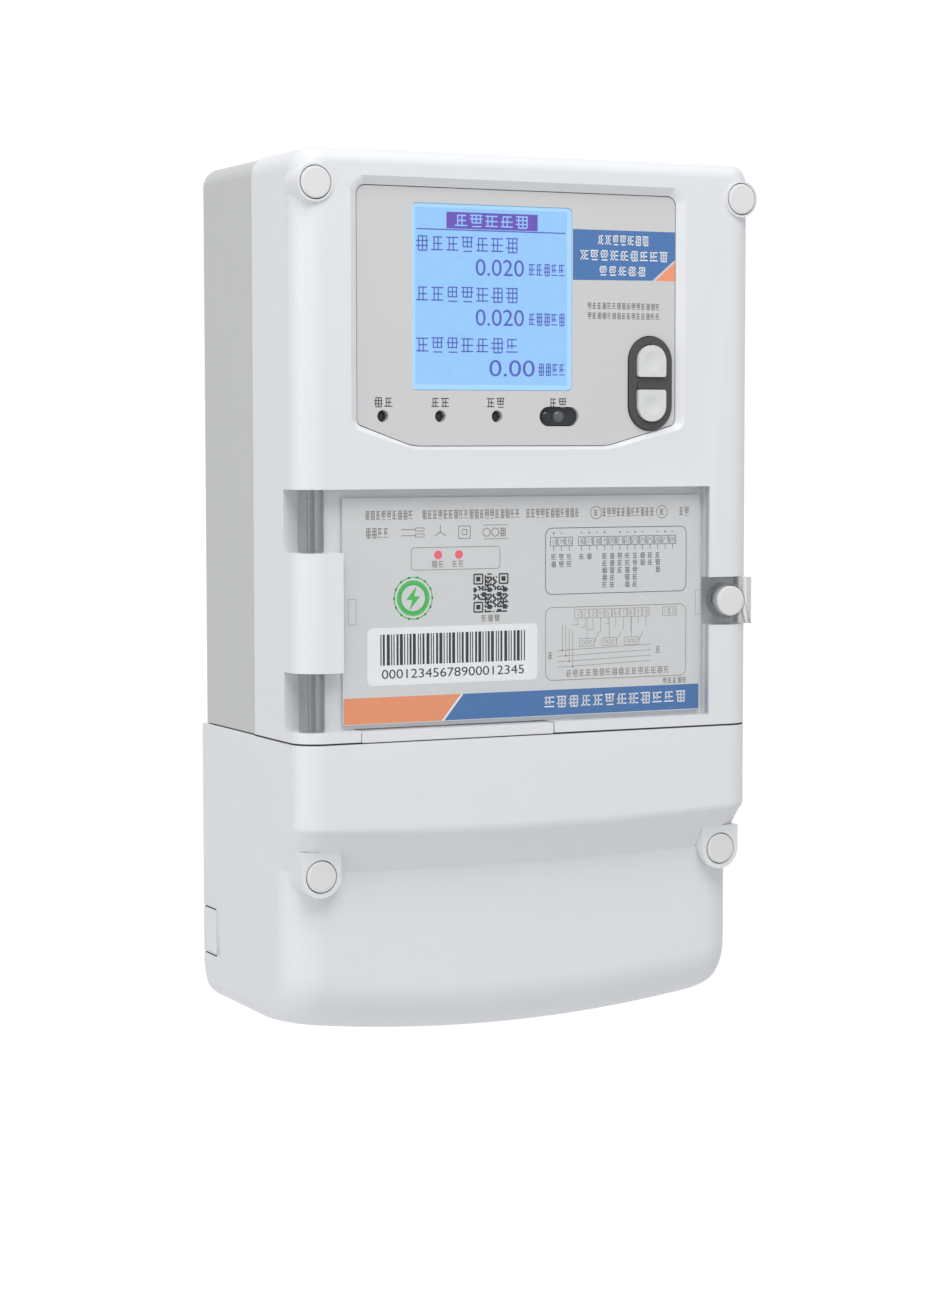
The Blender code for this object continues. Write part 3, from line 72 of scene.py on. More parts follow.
# The rear case, where the frame has its pillars, bores and tracks.
WALL_HOLE = (65.0 * MM, -80.0 * MM)
WALL_HOLE_RADIUS = 2.6 * MM
PLATE_INSET = 3.1 * MM
PLATE_LOW = -88.0 * MM
TOP_PILLAR = 3.0 * MM
TOP_BORE_DEPTH = 22.8 * MM
LOW_PILLAR_FRONT = -60.0 * MM
LOW_BORE_Y = (-62.5 * MM, -37.5 * MM)
LEG_X = (-58.5 * MM, -32.5 * MM, -19.5 * MM, 6.5 * MM, 19.5 * MM, 45.5 * MM)
LEG_Y = (-21.3 * MM, -12.7 * MM)
LEG_HALF = 1.55 * MM
TRACK_HALF = 14.3 * MM
TRACK_Y = (-3.4 * MM, -1.2 * MM)
MOUTH_HALF = 11.3 * MM
MOUTH_FRONT = -1.5 * MM

# The display panel.
PANEL_X = (-66.6 * MM, 57.4 * MM)
PANEL_Z = (95.4 * MM, 183.7 * MM)
PANEL_BEVEL = 2.7 * MM
PANEL_LOW_BEVEL = 1.1 * MM
PANEL_BEVEL_DEPTH = 2.0 * MM
FASCIA_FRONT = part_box("fascia")[0].y
FASCIA_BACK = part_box("fascia")[1].y
PANEL_SEAT = FASCIA_BACK + GAP
PANEL_BACK = PANEL_SEAT + 2.0 * MM
LCD_X = (-43.9 * MM, 14.9 * MM)
LCD_Z = (114.9 * MM, 175.8 * MM)
LCD_CORNER = 1.5 * MM
LED_X = (-54.5 * MM, -33.8 * MM, -13.1 * MM)
LED_Z = 106.4 * MM
LED_HOLE = 2.0 * MM
IR_X = (2.7 * MM, 17.5 * MM)
IR_HALF = 3.25 * MM
BEZEL_X = (36.5 * MM, 53.0 * MM)
BEZEL_Z = (101.9 * MM, 133.5 * MM)
BEZEL_BORDER = 2.6 * MM
BUTTON_BAR = 3.7 * MM
DISH_RADIUS = 14.0 * MM
DISH_DEPTH = 0.45 * MM
DISH_RISE = 7.4 * MM

# The door, its hinge and the label behind it.
DOOR_Z = (4.0 * MM, 82.7 * MM)
DOOR_RIGHT = 67.4 * MM
POCKET_WIDTH = 10.6 * MM
POCKET_DEPTH = 13.6 * MM
BRIDGE_Z = (23.2 * MM, 62.2 * MM)
BRIDGE_WIDTH = 15.4 * MM
HINGE = (-79.0 * MM, -85.2 * MM)
BARREL = 4.3 * MM
NOTCH_Z = (34.8 * MM, 51.4 * MM)
NOTCH_DEPTH = 10.0 * MM
DOOR_BOSS = (75.3 * MM, 43.1 * MM)
DOOR_FRONT = -89.5 * MM
DOOR_BACK = -87.5 * MM
LABEL_FRONT = -85.5 * MM
LABEL_SEAT = -84.2 * MM
LABEL_WALL = 2.0 * MM
PIN_END = 2.6 * MM
SILL_REST = 0.2 * MM
SILL_X = (-63.6 * MM, 7.4 * MM)
SILL_DEPTH = 10.0 * MM

# The seal screws: their bosses and caps.
TOP_BOSS = (79.0 * MM, 180.8 * MM)
BOSS_FACE = -90.6 * MM
BOSS_RING = 6.2 * MM
BOSS_FOOT = 6.8 * MM
BOSS_BACK = -71.2 * MM
LOW_BOSS = (75.5 * MM, -43.85 * MM)
LOW_FACE = -84.3 * MM
LOW_RADIUS = 7.1 * MM
LOW_RISE = 8.0 * MM
RECESS = 5.5 * MM
CAP = 5.15 * MM
BORE = 1.8 * MM
RECESS_DEPTH = 4.0 * MM
SHANK = 1.5 * MM

# The terminal cover.
LOWER_FRONT = -80.0 * MM
BROW_LOW = -33.3 * MM
CREASE = -44.3 * MM
BROW_LIFT = 3.6 * MM
CREASE_LIFT = 1.8 * MM
ARC_RISE = 7.0 * MM
LOWER_ROUND = 13.0 * MM
FRONT_BOTTOM_ROUND = 18.0 * MM
BACK_BOTTOM_ROUND = 12.0 * MM
BOTTOM_SIDE_ROUND = 4.0 * MM

BROW_START = -24.0 * MM
BROW_ROUND = 4.5 * MM
ENTRY_HALF = 65.0 * MM
ENTRY_FRONT = -36.0 * MM
ENTRY_RISE = 14.5 * MM
TUBE_BACK = -60.3 * MM
TUBE_BORE_BACK = -57.0 * MM
KNOCKOUT_FRONT = -12.8 * MM
KNOCKOUT_Z = (-81.3 * MM, -64.3 * MM)
KNOCKOUT_ROUND = 1.4 * MM
SLOT_WIDTH = 0.65 * MM
SLOT_DEPTH = 1.6 * MM

# Details: a printed stroke's height, the least step of an outline, and what a full round leaves of its side.
STROKE = 0.02 * MM
NEAR = 0.02 * MM
FULL_ROUND = 0.001 * MM
PIN_BORE = 1.3 * MM
PILLAR = 4.5 * MM
EDGE = 0.3 * MM
ARC_STEPS = 10


# ---------------------------------------------------------------- materials


def srgb(code):
    """A linear colour from its six hexadecimal digits."""
    parts = [int(code[i : i + 2], 16) / 255 for i in (0, 2, 4)]
    return tuple(c / 12.92 if c <= 0.04045 else ((c + 0.055) / 1.055) ** 2.4 for c in parts)


def material(name, colour, roughness, metallic=0.0):
    """A material whose shader the caller goes on to dress."""
    made = bpy.data.materials.new(name)
    made.use_nodes = True
    shader = made.node_tree.nodes["Principled BSDF"]
    shader.inputs["Base Color"].default_value = (*colour, 1.0)
    shader.inputs["Roughness"].default_value = roughness
    shader.inputs["Metallic"].default_value = metallic
    return made, made.node_tree, shader


def add(tree, kind, **values):
    """A new shader node. Its inputs are named with _ for each space."""
    made = tree.nodes.new("ShaderNode" + kind)
    for name, value in values.items():
        made.inputs[name.replace("_", " ")].default_value = value
    return made


def noise_on(tree, scale, detail=3.0, stretch=(1, 1, 1)):
    """A noise over object coordinates, one cycle to about 1/scale metres."""
    mapping = add(tree, "Mapping", Scale=stretch)
    noise = add(tree, "TexNoise", Scale=scale, Detail=detail)
    tree.links.new(add(tree, "TexCoord").outputs["Object"], mapping.inputs["Vector"])
    tree.links.new(mapping.outputs["Vector"], noise.inputs["Vector"])
    return noise.outputs["Fac"]


def ranged(tree, value, low, high):
    """From low to high as the value goes from 0.25 to 0.75."""
    spread = add(tree, "MapRange", From_Min=0.25, From_Max=0.75, To_Min=low, To_Max=high)
    tree.links.new(value, spread.inputs["Value"])
    return spread.outputs["Result"]


def tinted(tree, value, colour, spread):
    """The colour, darker and lighter by the spread as the value goes from 0.25 to 0.75."""
    ramp = add(tree, "ValToRGB")
    for stop, position, share in zip(ramp.color_ramp.elements, (0.25, 0.75), (1 - spread, 1 + spread)):
        stop.position = position
        stop.color = (*[min(c * share, 1.0) for c in colour], 1.0)
    tree.links.new(value, ramp.inputs["Fac"])
    return ramp.outputs["Color"]


def bumped(tree, shader, value, distance):
    bump = add(tree, "Bump", Distance=distance, Strength=1.0)
    tree.links.new(value, bump.inputs["Height"])
    tree.links.new(bump.outputs["Normal"], shader.inputs["Normal"])


def moulded(name, code, roughness=0.42, spread=0.02, grain=0.006 * MM, grain_scale=2600.0):
    """Injection-moulded plastic with a fine spark-eroded grain."""
    colour = srgb(code)
    made, tree, shader = material(name, colour, roughness)
    tree.links.new(tinted(tree, noise_on(tree, 45.0), colour, spread), shader.inputs["Base Color"])
    fine = noise_on(tree, grain_scale, detail=2.0)
    tree.links.new(ranged(tree, fine, roughness - 0.04, roughness + 0.05), shader.inputs["Roughness"])
    bumped(tree, shader, fine, grain)
    return made


def speckled(name, code, fleck, roughness=0.5):
    """Printed film with a fine speckle."""
    colour = srgb(code)
    made, tree, shader = material(name, colour, roughness)
    fine = noise_on(tree, 3200.0, detail=1.0)
    tree.links.new(tinted(tree, fine, colour, fleck), shader.inputs["Base Color"])
    bumped(tree, shader, fine, 0.004 * MM)
    return made


def metal(name, code, roughness=0.3):
    """Turned or rolled metal with faint tool lines."""
    colour = srgb(code)
    made, tree, shader = material(name, colour, roughness, 1.0)
    lines = noise_on(tree, 900.0, stretch=(1, 1, 30))
    tree.links.new(tinted(tree, noise_on(tree, 120.0), colour, 0.06), shader.inputs["Base Color"])
    tree.links.new(ranged(tree, lines, roughness - 0.08, roughness + 0.12), shader.inputs["Roughness"])
    bumped(tree, shader, lines, 0.004 * MM)
    return made


def ink(name, code, roughness=0.45):
    """Screen-printed ink, a little uneven."""
    colour = srgb(code)
    made, tree, shader = material(name, colour, roughness)
    tree.links.new(tinted(tree, noise_on(tree, 1500.0), colour, 0.05), shader.inputs["Base Color"])
    return made


def lit(name, code, strength, spread=0.03):
    """A surface lit from behind."""
    made, tree, shader = material(name, (0.02, 0.02, 0.02), 0.25)
    shade = tinted(tree, noise_on(tree, 260.0), srgb(code), spread)
    tree.links.new(shade, shader.inputs["Emission Color"])
    shader.inputs["Emission Strength"].default_value = strength
    return made


def clear_plastic(name, tint, body, roughness=0.05):
    """Clear moulding: see-through, glossy at grazing angles, with a share of body colour."""
    made, tree, shader = material(name, srgb(tint), roughness)
    bumped(tree, shader, noise_on(tree, 500.0), 0.002 * MM)
    see = add(tree, "BsdfTransparent", Color=(0.99, 0.993, 0.995, 1.0))
    angle = add(tree, "LayerWeight", Blend=0.5)
    share = add(tree, "MapRange", From_Min=0.55, To_Min=body, To_Max=0.6)
    mix = add(tree, "MixShader")
    tree.links.new(angle.outputs["Facing"], share.inputs["Value"])
    tree.links.new(share.outputs["Result"], mix.inputs["Fac"])
    tree.links.new(see.outputs["BSDF"], mix.inputs[1])
    tree.links.new(shader.outputs["BSDF"], mix.inputs[2])
    tree.links.new(mix.outputs["Shader"], tree.nodes["Material Output"].inputs["Surface"])
    return made


def circuit_board(name):
    """Green solder mask with fine copper runs showing through it."""
    colour = srgb("0f5a32")
    made, tree, shader = material(name, colour, 0.35)
    turn = add(tree, "Mapping", Rotation=(math.radians(90), 0, 0))
    runs = add(tree, "TexBrick", Scale=160.0, Mortar_Size=0.02, Color1=(*colour, 1.0),
               Color2=(*[c * 0.85 for c in colour], 1.0), Mortar=(*srgb("2f8a55"), 1.0))
    tree.links.new(add(tree, "TexCoord").outputs["Object"], turn.inputs["Vector"])
    tree.links.new(turn.outputs["Vector"], runs.inputs["Vector"])
    tree.links.new(runs.outputs["Color"], shader.inputs["Base Color"])
    bumped(tree, shader, runs.outputs["Fac"], 0.03 * MM)
    return made


WHITE = moulded("white_moulding", "e2e4e7", 0.42, 0.008)
CASE = moulded("grey_moulding", "c6c7c7", 0.5, 0.012)
CAP_WHITE = moulded("cap_moulding", "dfe0df", 0.5, 0.02, grain=0.012 * MM, grain_scale=1800.0)
FASCIA = speckled("fascia_film", "cfcfd0", 0.035)
LABEL = speckled("label_film", "dadbdc", 0.03, 0.42)
DARK = moulded("dark_moulding", "4a4a4b", 0.35, 0.05)
SMOKE = moulded("smoke_lens", "303235", 0.12, 0.08)
LENS = moulded("lens_grey", "5d6063", 0.15, 0.10)
BUTTON = moulded("button_moulding", "d8d9da", 0.45, 0.012)
# Dark rubber for the cover's gasket; the seam strip and the knock-out rings also wear it as painted shadow.
RUBBER_AND_PAINTED_SHADOW = moulded("gasket_rubber", "2c2c2c", 0.75, 0.08, grain=0.02 * MM, grain_scale=900.0)
BLACK = moulded("terminal_moulding", "262626", 0.5, 0.10, grain=0.02 * MM, grain_scale=1300.0)
CORE = moulded("core_tape", "27406f", 0.35, 0.08, grain=0.03 * MM, grain_scale=600.0)
STEEL = metal("plated_steel", "b9bbbd", 0.28)
BRASS = metal("brass", "c9a45c", 0.3)
COPPER = metal("copper", "c07a52", 0.3)
BOARD = circuit_board("circuit_board")
CLEAR = clear_plastic("clear_moulding", "d5d8dc", 0.01)
# Painted shade: a grey copy of the clear moulding, whose body share paints the darker look that refraction
# and the shaded pocket and notch behind give the hinge barrels and the door's tab.
CLEAR_PAINTED_SHADE = clear_plastic("clear_painted_shade", "8f9296", 0.33)
SCREEN = lit("screen_blue", "93c8fb", 0.98)
SCREEN_EDGE = lit("screen_edge", "a5d7ff", 1.0)
SCREEN_INK = lit("screen_ink", "5560c4", 0.9, 0.10)
SCREEN_BAR = lit("screen_bar", "6b50bf", 0.9, 0.08)
BACKLIGHT = lit("backlight", "dbe9ff", 0.8)
BLUE_INK = ink("blue_ink", "4c79b3")
ORANGE_INK = ink("orange_ink", "f29a70")
GREY_INK = ink("grey_ink", "9b958e")
DARK_INK = ink("dark_ink", "5c5c5c")
BLACK_INK = ink("black_ink", "343436")
WHITE_INK = ink("white_ink", "f4f5f7")
RED_INK = ink("red_ink", "ff6b7a")
GREEN_INK = ink("green_ink", "4cc35a")


# ---------------------------------------------------------------- mesh tools

TURN_TO = {
    "X": Matrix(((0, 0, 1), (1, 0, 0), (0, 1, 0))),
    "Y": Matrix(((1, 0, 0), (0, 0, -1), (0, 1, 0))),
    "Z": Matrix.Identity(3),
}


def place(name, shape):
    """A new object from a bmesh, which it frees."""
    bmesh.ops.recalc_face_normals(shape, faces=shape.faces)
    mesh = bpy.data.meshes.new(name)
    shape.to_mesh(mesh)
    shape.free()
    obj = bpy.data.objects.new(name, mesh)
    bpy.context.scene.collection.objects.link(obj)
    return obj


def box(name, low, high):
    low, high = Vector(low), Vector(high)
    shape = bmesh.new()
    middle = Matrix.Translation((low + high) / 2)
    bmesh.ops.create_cube(shape, size=1.0, matrix=middle @ Matrix.Diagonal((*(high - low), 1)))
    return place(name, shape)


def rod(name, axis, start, end, radius, end_radius=None, sides=48):
    start, end = Vector(start), Vector(end)
    shape = bmesh.new()
    along = Matrix.Translation((start + end) / 2) @ TURN_TO[axis].to_4x4()
    wide = radius if end_radius is None else end_radius
    bmesh.ops.create_cone(
        shape, cap_ends=True, segments=sides, radius1=radius, radius2=wide, depth=(end - start).length,
        matrix=along
    )
    return place(name, shape)


def peg(name, spot, start, end, radius, end_radius=None, sides=48):
    """A rod along Y through the point (x, z). The end radius is the one at the front."""
    x, z = spot
    return rod(name, "Y", (x, start, z), (x, end, z), radius, end_radius, sides)


def turned(name, axis, centre, profile, sides=64):
    """A turned piece: the profile holds (radius, height) pairs from one end to the other."""
    shape = bmesh.new()
    rings = []
    for radius, height in profile:
        if radius < 1e-9:
            rings.append([shape.verts.new((0, 0, height))])
            continue
        angles = [2 * math.pi * step / sides for step in range(sides)]
        rings.append([shape.verts.new((radius * math.cos(a), radius * math.sin(a), height)) for a in angles])
    for ring, following in zip(rings, rings[1:]):
        for index in range(sides):
            corners = {ring[index % len(ring)]: 0, ring[(index + 1) % len(ring)]: 0}
            corners |= {following[(index + 1) % len(following)]: 0, following[index % len(following)]: 0}
            shape.faces.new(list(corners))
    shape.transform(Matrix.Translation(centre) @ TURN_TO[axis].to_4x4())
    return place(name, shape)


def rounded(corners, steps=ARC_STEPS):
    """The points of a closed outline whose corners are (across, up, radius)."""
    points = []
    for index, (across, up, radius) in enumerate(corners):
        here = Vector((across, up))
        if radius <= 0:
            points.append(tuple(here))
            continue
        back = (Vector(corners[index - 1][:2]) - here).normalized()
        ahead = (Vector(corners[(index + 1) % len(corners)][:2]) - here).normalized()
        half = back.angle(ahead) / 2
        centre = here + (back + ahead).normalized() * (radius / math.sin(half))
        spoke = here + back * (radius / math.tan(half)) - centre
        turn = math.copysign(math.pi - 2 * half, back.y * ahead.x - back.x * ahead.y)
        for step in range(steps + 1):
            points.append(tuple(centre + Matrix.Rotation(turn * step / steps, 2) @ spoke))
    apart = zip(points, points[-1:] + points[:-1])
    return [point for point, last in apart if math.dist(point, last) > NEAR]


def rectangle(across, up, radius=0.0):
    (left, right), (low, high) = across, up
    return rounded([(left, low, radius), (right, low, radius), (right, high, radius), (left, high, radius)])


def arch(inset, low, corner):
    side, top = SIDE - inset, TOP - inset
    return rounded([(-side, low, 0), (side, low, 0), (side, top, corner), (-side, top, corner)])


def slab(name, axis, loops, low, high):
    """A flat outline, with a loop for each hole in it, made as thick as low to high along one axis."""
    curve = bpy.data.curves.new(name, "CURVE")
    curve.dimensions = "2D"
    curve.fill_mode = "BOTH"
    curve.extrude = (high - low) / 2
    for loop in loops:
        spline = curve.splines.new("POLY")
        spline.points.add(len(loop) - 1)
        spline.use_cyclic_u = True
        for point, (across, up) in zip(spline.points, loop):
            point.co = (across, up, 0, 1)
    guide = bpy.data.objects.new(name, curve)
    bpy.context.scene.collection.objects.link(guide)
    bpy.context.view_layer.update()
    mesh = bpy.data.meshes.new_from_object(guide.evaluated_get(bpy.context.evaluated_depsgraph_get()))
    bpy.data.objects.remove(guide, do_unlink=True)
    shape = bmesh.new()
    shape.from_mesh(mesh)
    bmesh.ops.remove_doubles(shape, verts=shape.verts, dist=0.001 * MM)
    shape.transform(TURN_TO[axis].to_4x4())
    offset = Vector([(low + high) / 2 if letter == axis else 0 for letter in "XYZ"])
    bmesh.ops.translate(shape, verts=shape.verts, vec=offset)
    return place(name, shape)


def loft(name, sections):
    """A closed solid through rings of points, all with as many points; its two end rings are filled."""
    shape = bmesh.new()
    rings = [[shape.verts.new(point) for point in section] for section in sections]
    shape.faces.new(rings[0])
    shape.faces.new(rings[-1])
    for ring, following in zip(rings, rings[1:]):
        for index in range(len(ring)):
            shape.faces.new((ring[index - 1], ring[index], following[index], following[index - 1]))
    return place(name, shape)


def settle(obj):
    """Applies the object's modifiers to its mesh."""
    bpy.context.view_layer.update()
    mesh = bpy.data.meshes.new_from_object(obj.evaluated_get(bpy.context.evaluated_depsgraph_get()))
    obj.modifiers.clear()
    old, obj.data = obj.data, mesh
    bpy.data.meshes.remove(old)
    return obj


def combine(target, operation, *tools):
    for tool in tools:
        boolean = target.modifiers.new(tool.name, "BOOLEAN")
        boolean.operation = operation
        boolean.solver = "EXACT"
        boolean.object = tool
    settle(target)
    for tool in tools:
        bpy.data.objects.remove(tool, do_unlink=True)
    return target


def cut(target, *tools):
    return combine(target, "DIFFERENCE", *tools)


def join(target, *tools):
    return combine(target, "UNION", *tools)


def softened(obj, width=0.35 * MM, segments=2, angle=30.0):
    """Breaks the sharp outer edges by a small radius and smooths the rest."""
    shape = bmesh.new()
    shape.from_mesh(obj.data)
    weight = shape.edges.layers.float.new("bevel_weight_edge")
    for edge in shape.edges:
        if edge.is_manifold and edge.is_convex and edge.calc_face_angle() > math.radians(angle):
            edge[weight] = 1.0
    shape.to_mesh(obj.data)
    shape.free()
    bevel = obj.modifiers.new("edges", "BEVEL")
    bevel.width = width
    bevel.segments = segments
    bevel.limit_method = "WEIGHT"
    bevel.use_clamp_overlap = True
    settle(obj)
    return smoothed(obj, angle)


def smoothed(obj, angle=30.0):
    obj.data.shade_smooth()
    obj.data.set_sharp_from_angle(angle=math.radians(angle))
    normals = obj.modifiers.new("normals", "WEIGHTED_NORMAL")
    normals.keep_sharp = True
    normals.weight = 100
    return obj


def dressed(obj, finish, body, *nodes, slot=None):
    """Gives a piece its material, the body that it rides on and the frame nodes that it stands for."""
    obj.data.materials.clear()
    obj.data.materials.append(finish)
    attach(obj, body)
    if nodes:
        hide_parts(*nodes)
    return obj


# ---------------------------------------------------------------- shells


def front_form(name, inset=0.0, past=0.0):
    """The upper body's front half: flat front, wide round at the sides, smaller one along the top."""
    steps = 10
    side_round, top_round = SIDE_ROUND - inset, TOP_ROUND - inset
    sections = []
    for step in range(-1, steps + 1):
        angle = math.radians(90) * max(step, 0) / steps
        drawn_in = 1 - math.cos(angle)
        side, top = SIDE - inset - side_round * drawn_in, TOP - inset - top_round * drawn_in
        corner = (TOP_CORNER - inset) * (1 - 0.7 * drawn_in)
        ring = []
        low = SEAM + inset
        for x, z in rounded([(-side, low, 0), (side, low, 0), (side, top, corner), (-side, top, corner)]):
            across, up = max(abs(x) - side + corner, 0), max(z - top + corner, 0)
            normal = Vector((1, 0)) if z < top - corner else Vector((across, up)).normalized()
            depth = math.hypot(normal.x * side_round, normal.y * top_round) * (1 - math.sin(angle))
            ring.append((x, COVER_BACK + past if step < 0 else FRONT + inset + depth, z))
        sections.append(ring)
    return loft(name, sections)


def panel_outline(inset, low_inset):
    left, right = PANEL_X[0] + inset, PANEL_X[1] - inset
    low, high = PANEL_Z[0] + low_inset, PANEL_Z[1] - inset
    shoulder = low + 7.1 * MM
    corner = 5.0 * MM - inset * 0.65
    return rounded(
        [
            (PANEL_X[0] + 22.6 * MM, low, 20.0 * MM),
            (PANEL_X[1] - 28.8 * MM, low, 20.0 * MM),
            (right, shoulder, 4.4 * MM - inset * 0.7),
            (right, high, corner),
            (left, high, corner),
            (left, shoulder, 4.4 * MM - inset * 0.7),
        ]
    )


def bezel_outline(spread):
    across = (BEZEL_X[0] - spread, BEZEL_X[1] + spread)
    half = (across[1] - across[0]) / 2
    return rectangle(across, (BEZEL_Z[0] - spread, BEZEL_Z[1] + spread), half - FULL_ROUND)


def button_outline(part, spread):
    """A D-shaped button: its arched end is up for the upper button and down for the lower one."""
    middle, centre = sum(BEZEL_X) / 2, sum(BEZEL_Z) / 2
    half = (BEZEL_X[1] - BEZEL_X[0]) / 2 - BEZEL_BORDER + spread
    flat = BUTTON_BAR / 2 - spread
    arched = (BEZEL_Z[1] - BEZEL_Z[0]) / 2 - BEZEL_BORDER + spread
    low, high = (flat, arched) if part == "up" else (-arched, -flat)
    small, large = 0.9 * MM, half - FULL_ROUND
    radii = (small, large) if part == "up" else (large, small)
    return rounded(
        [
            (middle - half, centre + low, radii[0]),
            (middle + half, centre + low, radii[0]),
            (middle + half, centre + high, radii[1]),
            (middle - half, centre + high, radii[1]),
        ]
    )


def ir_outline(inset):
    half = IR_HALF - inset
    return rectangle((IR_X[0] + inset, IR_X[1] - inset), (LED_Z - half, LED_Z + half), half - FULL_ROUND)


def door_outline(bridge_right, left, right, side, gap):
    """The outline shared by the door and its room: cut out round the bridge, with the tab on the right."""
    low, high = DOOR_Z[0] + gap, DOOR_Z[1] - gap
    lower, upper = BRIDGE_Z[0] - gap, BRIDGE_Z[1] + gap
    tab_low, tab_high = NOTCH_Z[0] + gap, NOTCH_Z[1] - gap
    return [
        (bridge_right, lower), (left, lower), (left, low), (right, low),
        (right, tab_low), (side, tab_low), (side, tab_high), (right, tab_high),
        (right, high), (left, high), (left, upper), (bridge_right, upper),
    ]


def make_front_shell():
    """The white front half: the panel's slope and openings, the door's room and hinge, and the bosses."""
    shell = front_form("front_shell")
    cut(shell, front_form("room", WALL, PAST))
    join(shell, slab("plate", "Y", [panel_outline(-WALL, -WALL)], FRONT + WALL / 2, PANEL_BACK))
    lead = -0.25
    steps = ((lead, FRONT + lead * PANEL_BEVEL_DEPTH), (1, FRONT + PANEL_BEVEL_DEPTH), (1, PANEL_SEAT))
    sections = [
        [(x, y, z) for x, z in panel_outline(share * PANEL_BEVEL, share * PANEL_LOW_BEVEL)]
        for share, y in steps
    ]
    cut(shell, loft("slope", sections))
    through = (FRONT, PANEL_BACK + PAST)
    ledge = LCD_CORNER
    across, up = (LCD_X[0] + ledge, LCD_X[1] - ledge), (LCD_Z[0] + ledge, LCD_Z[1] - ledge)
    for outline in (rectangle(across, up, LCD_CORNER), bezel_outline(GAP), ir_outline(0)):
        cut(shell, slab("opening", "Y", [outline], *through))
    for x in LED_X:
        cut(shell, peg("led", (x, LED_Z), *through, LED_HOLE))

    left, rim = -SIDE, WALL
    floor_back = LABEL_SEAT + LABEL_WALL
    low = (left + POCKET_WIDTH + rim, FRONT + 0.4 * rim, DOOR_Z[0] - rim)
    join(shell, box("label_floor", low, (DOOR_RIGHT + rim, floor_back, DOOR_Z[1] + rim)))
    pocket_back = FRONT + POCKET_DEPTH
    low = (left, FRONT, SEAM + 0.4 * rim)
    high = (left + BRIDGE_WIDTH + rim, pocket_back + rim, DOOR_Z[1] + 1.3 * rim)
    hinge_block = box("hinge_block", low, high)
    low = (DOOR_RIGHT - 0.5 * rim, FRONT, NOTCH_Z[0] - rim)
    high = (SIDE, FRONT + NOTCH_DEPTH + 3 * rim, NOTCH_Z[1] + rim)
    notch_block = box("notch_block", low, high)
    for block in (hinge_block, notch_block):
        join(shell, combine(block, "INTERSECT", front_form("limit", 0.5 * rim)))
    sill_back = FRONT + SILL_DEPTH + GAP
    low = (SILL_X[0] - rim, floor_back - 0.3 * rim, SEAM + 0.3 * rim)
    join(shell, box("sill_block", low, (SILL_X[1] + rim, sill_back + rim, DOOR_Z[0] + rim)))
    front = FRONT - PAST
    pocket_right = left + POCKET_WIDTH - GAP
    bridge_right = left + BRIDGE_WIDTH
    room = door_outline(bridge_right, pocket_right, DOOR_RIGHT, DOOR_RIGHT + PAST, 0)
    cut(shell, slab("door_room", "Y", [room], front, LABEL_SEAT))
    for low, high in ((BRIDGE_Z[1], DOOR_Z[1]), (DOOR_Z[0], BRIDGE_Z[0])):
        cut(shell, box("pocket", (left - PAST, front, low), (left + POCKET_WIDTH, pocket_back, high)))
    cut(shell, box("notch", (DOOR_RIGHT, front, NOTCH_Z[0]), (SIDE + PAST, FRONT + NOTCH_DEPTH, NOTCH_Z[1])))
    notch_back = FRONT + NOTCH_DEPTH
    cut(shell, peg("door_bore", DOOR_BOSS, notch_back - WALL, notch_back + 4 * WALL, BORE))
    pin = ((*HINGE, DOOR_Z[0] - PIN_END), (*HINGE, DOOR_Z[1] + rim + PAST))
    cut(shell, rod("pin_bore", "Z", *pin, PIN_BORE))
    cut(shell, box("sill_slot", (SILL_X[0], front, -PAST), (SILL_X[1], sill_back, DOOR_Z[0] + SILL_REST)))

    for sign in (-1, 1):
        spot = (sign * TOP_BOSS[0], TOP_BOSS[1])
        join(shell, peg("boss", spot, BOSS_FACE, FRONT + SIDE_ROUND, BOSS_FOOT, BOSS_RING, sides=96))
        join(shell, peg("post", spot, FRONT + WALL / 2, BOSS_BACK, PILLAR))
        cut(shell, peg("recess", spot, BOSS_FACE - WALL, BOSS_FACE + RECESS_DEPTH, RECESS))
        cut(shell, peg("way", spot, BOSS_FACE, BOSS_BACK + WALL, BORE))
    softened(shell, EDGE, angle=35)
    return dressed(shell, WHITE, "case", "front_cover", slot="cover_white")


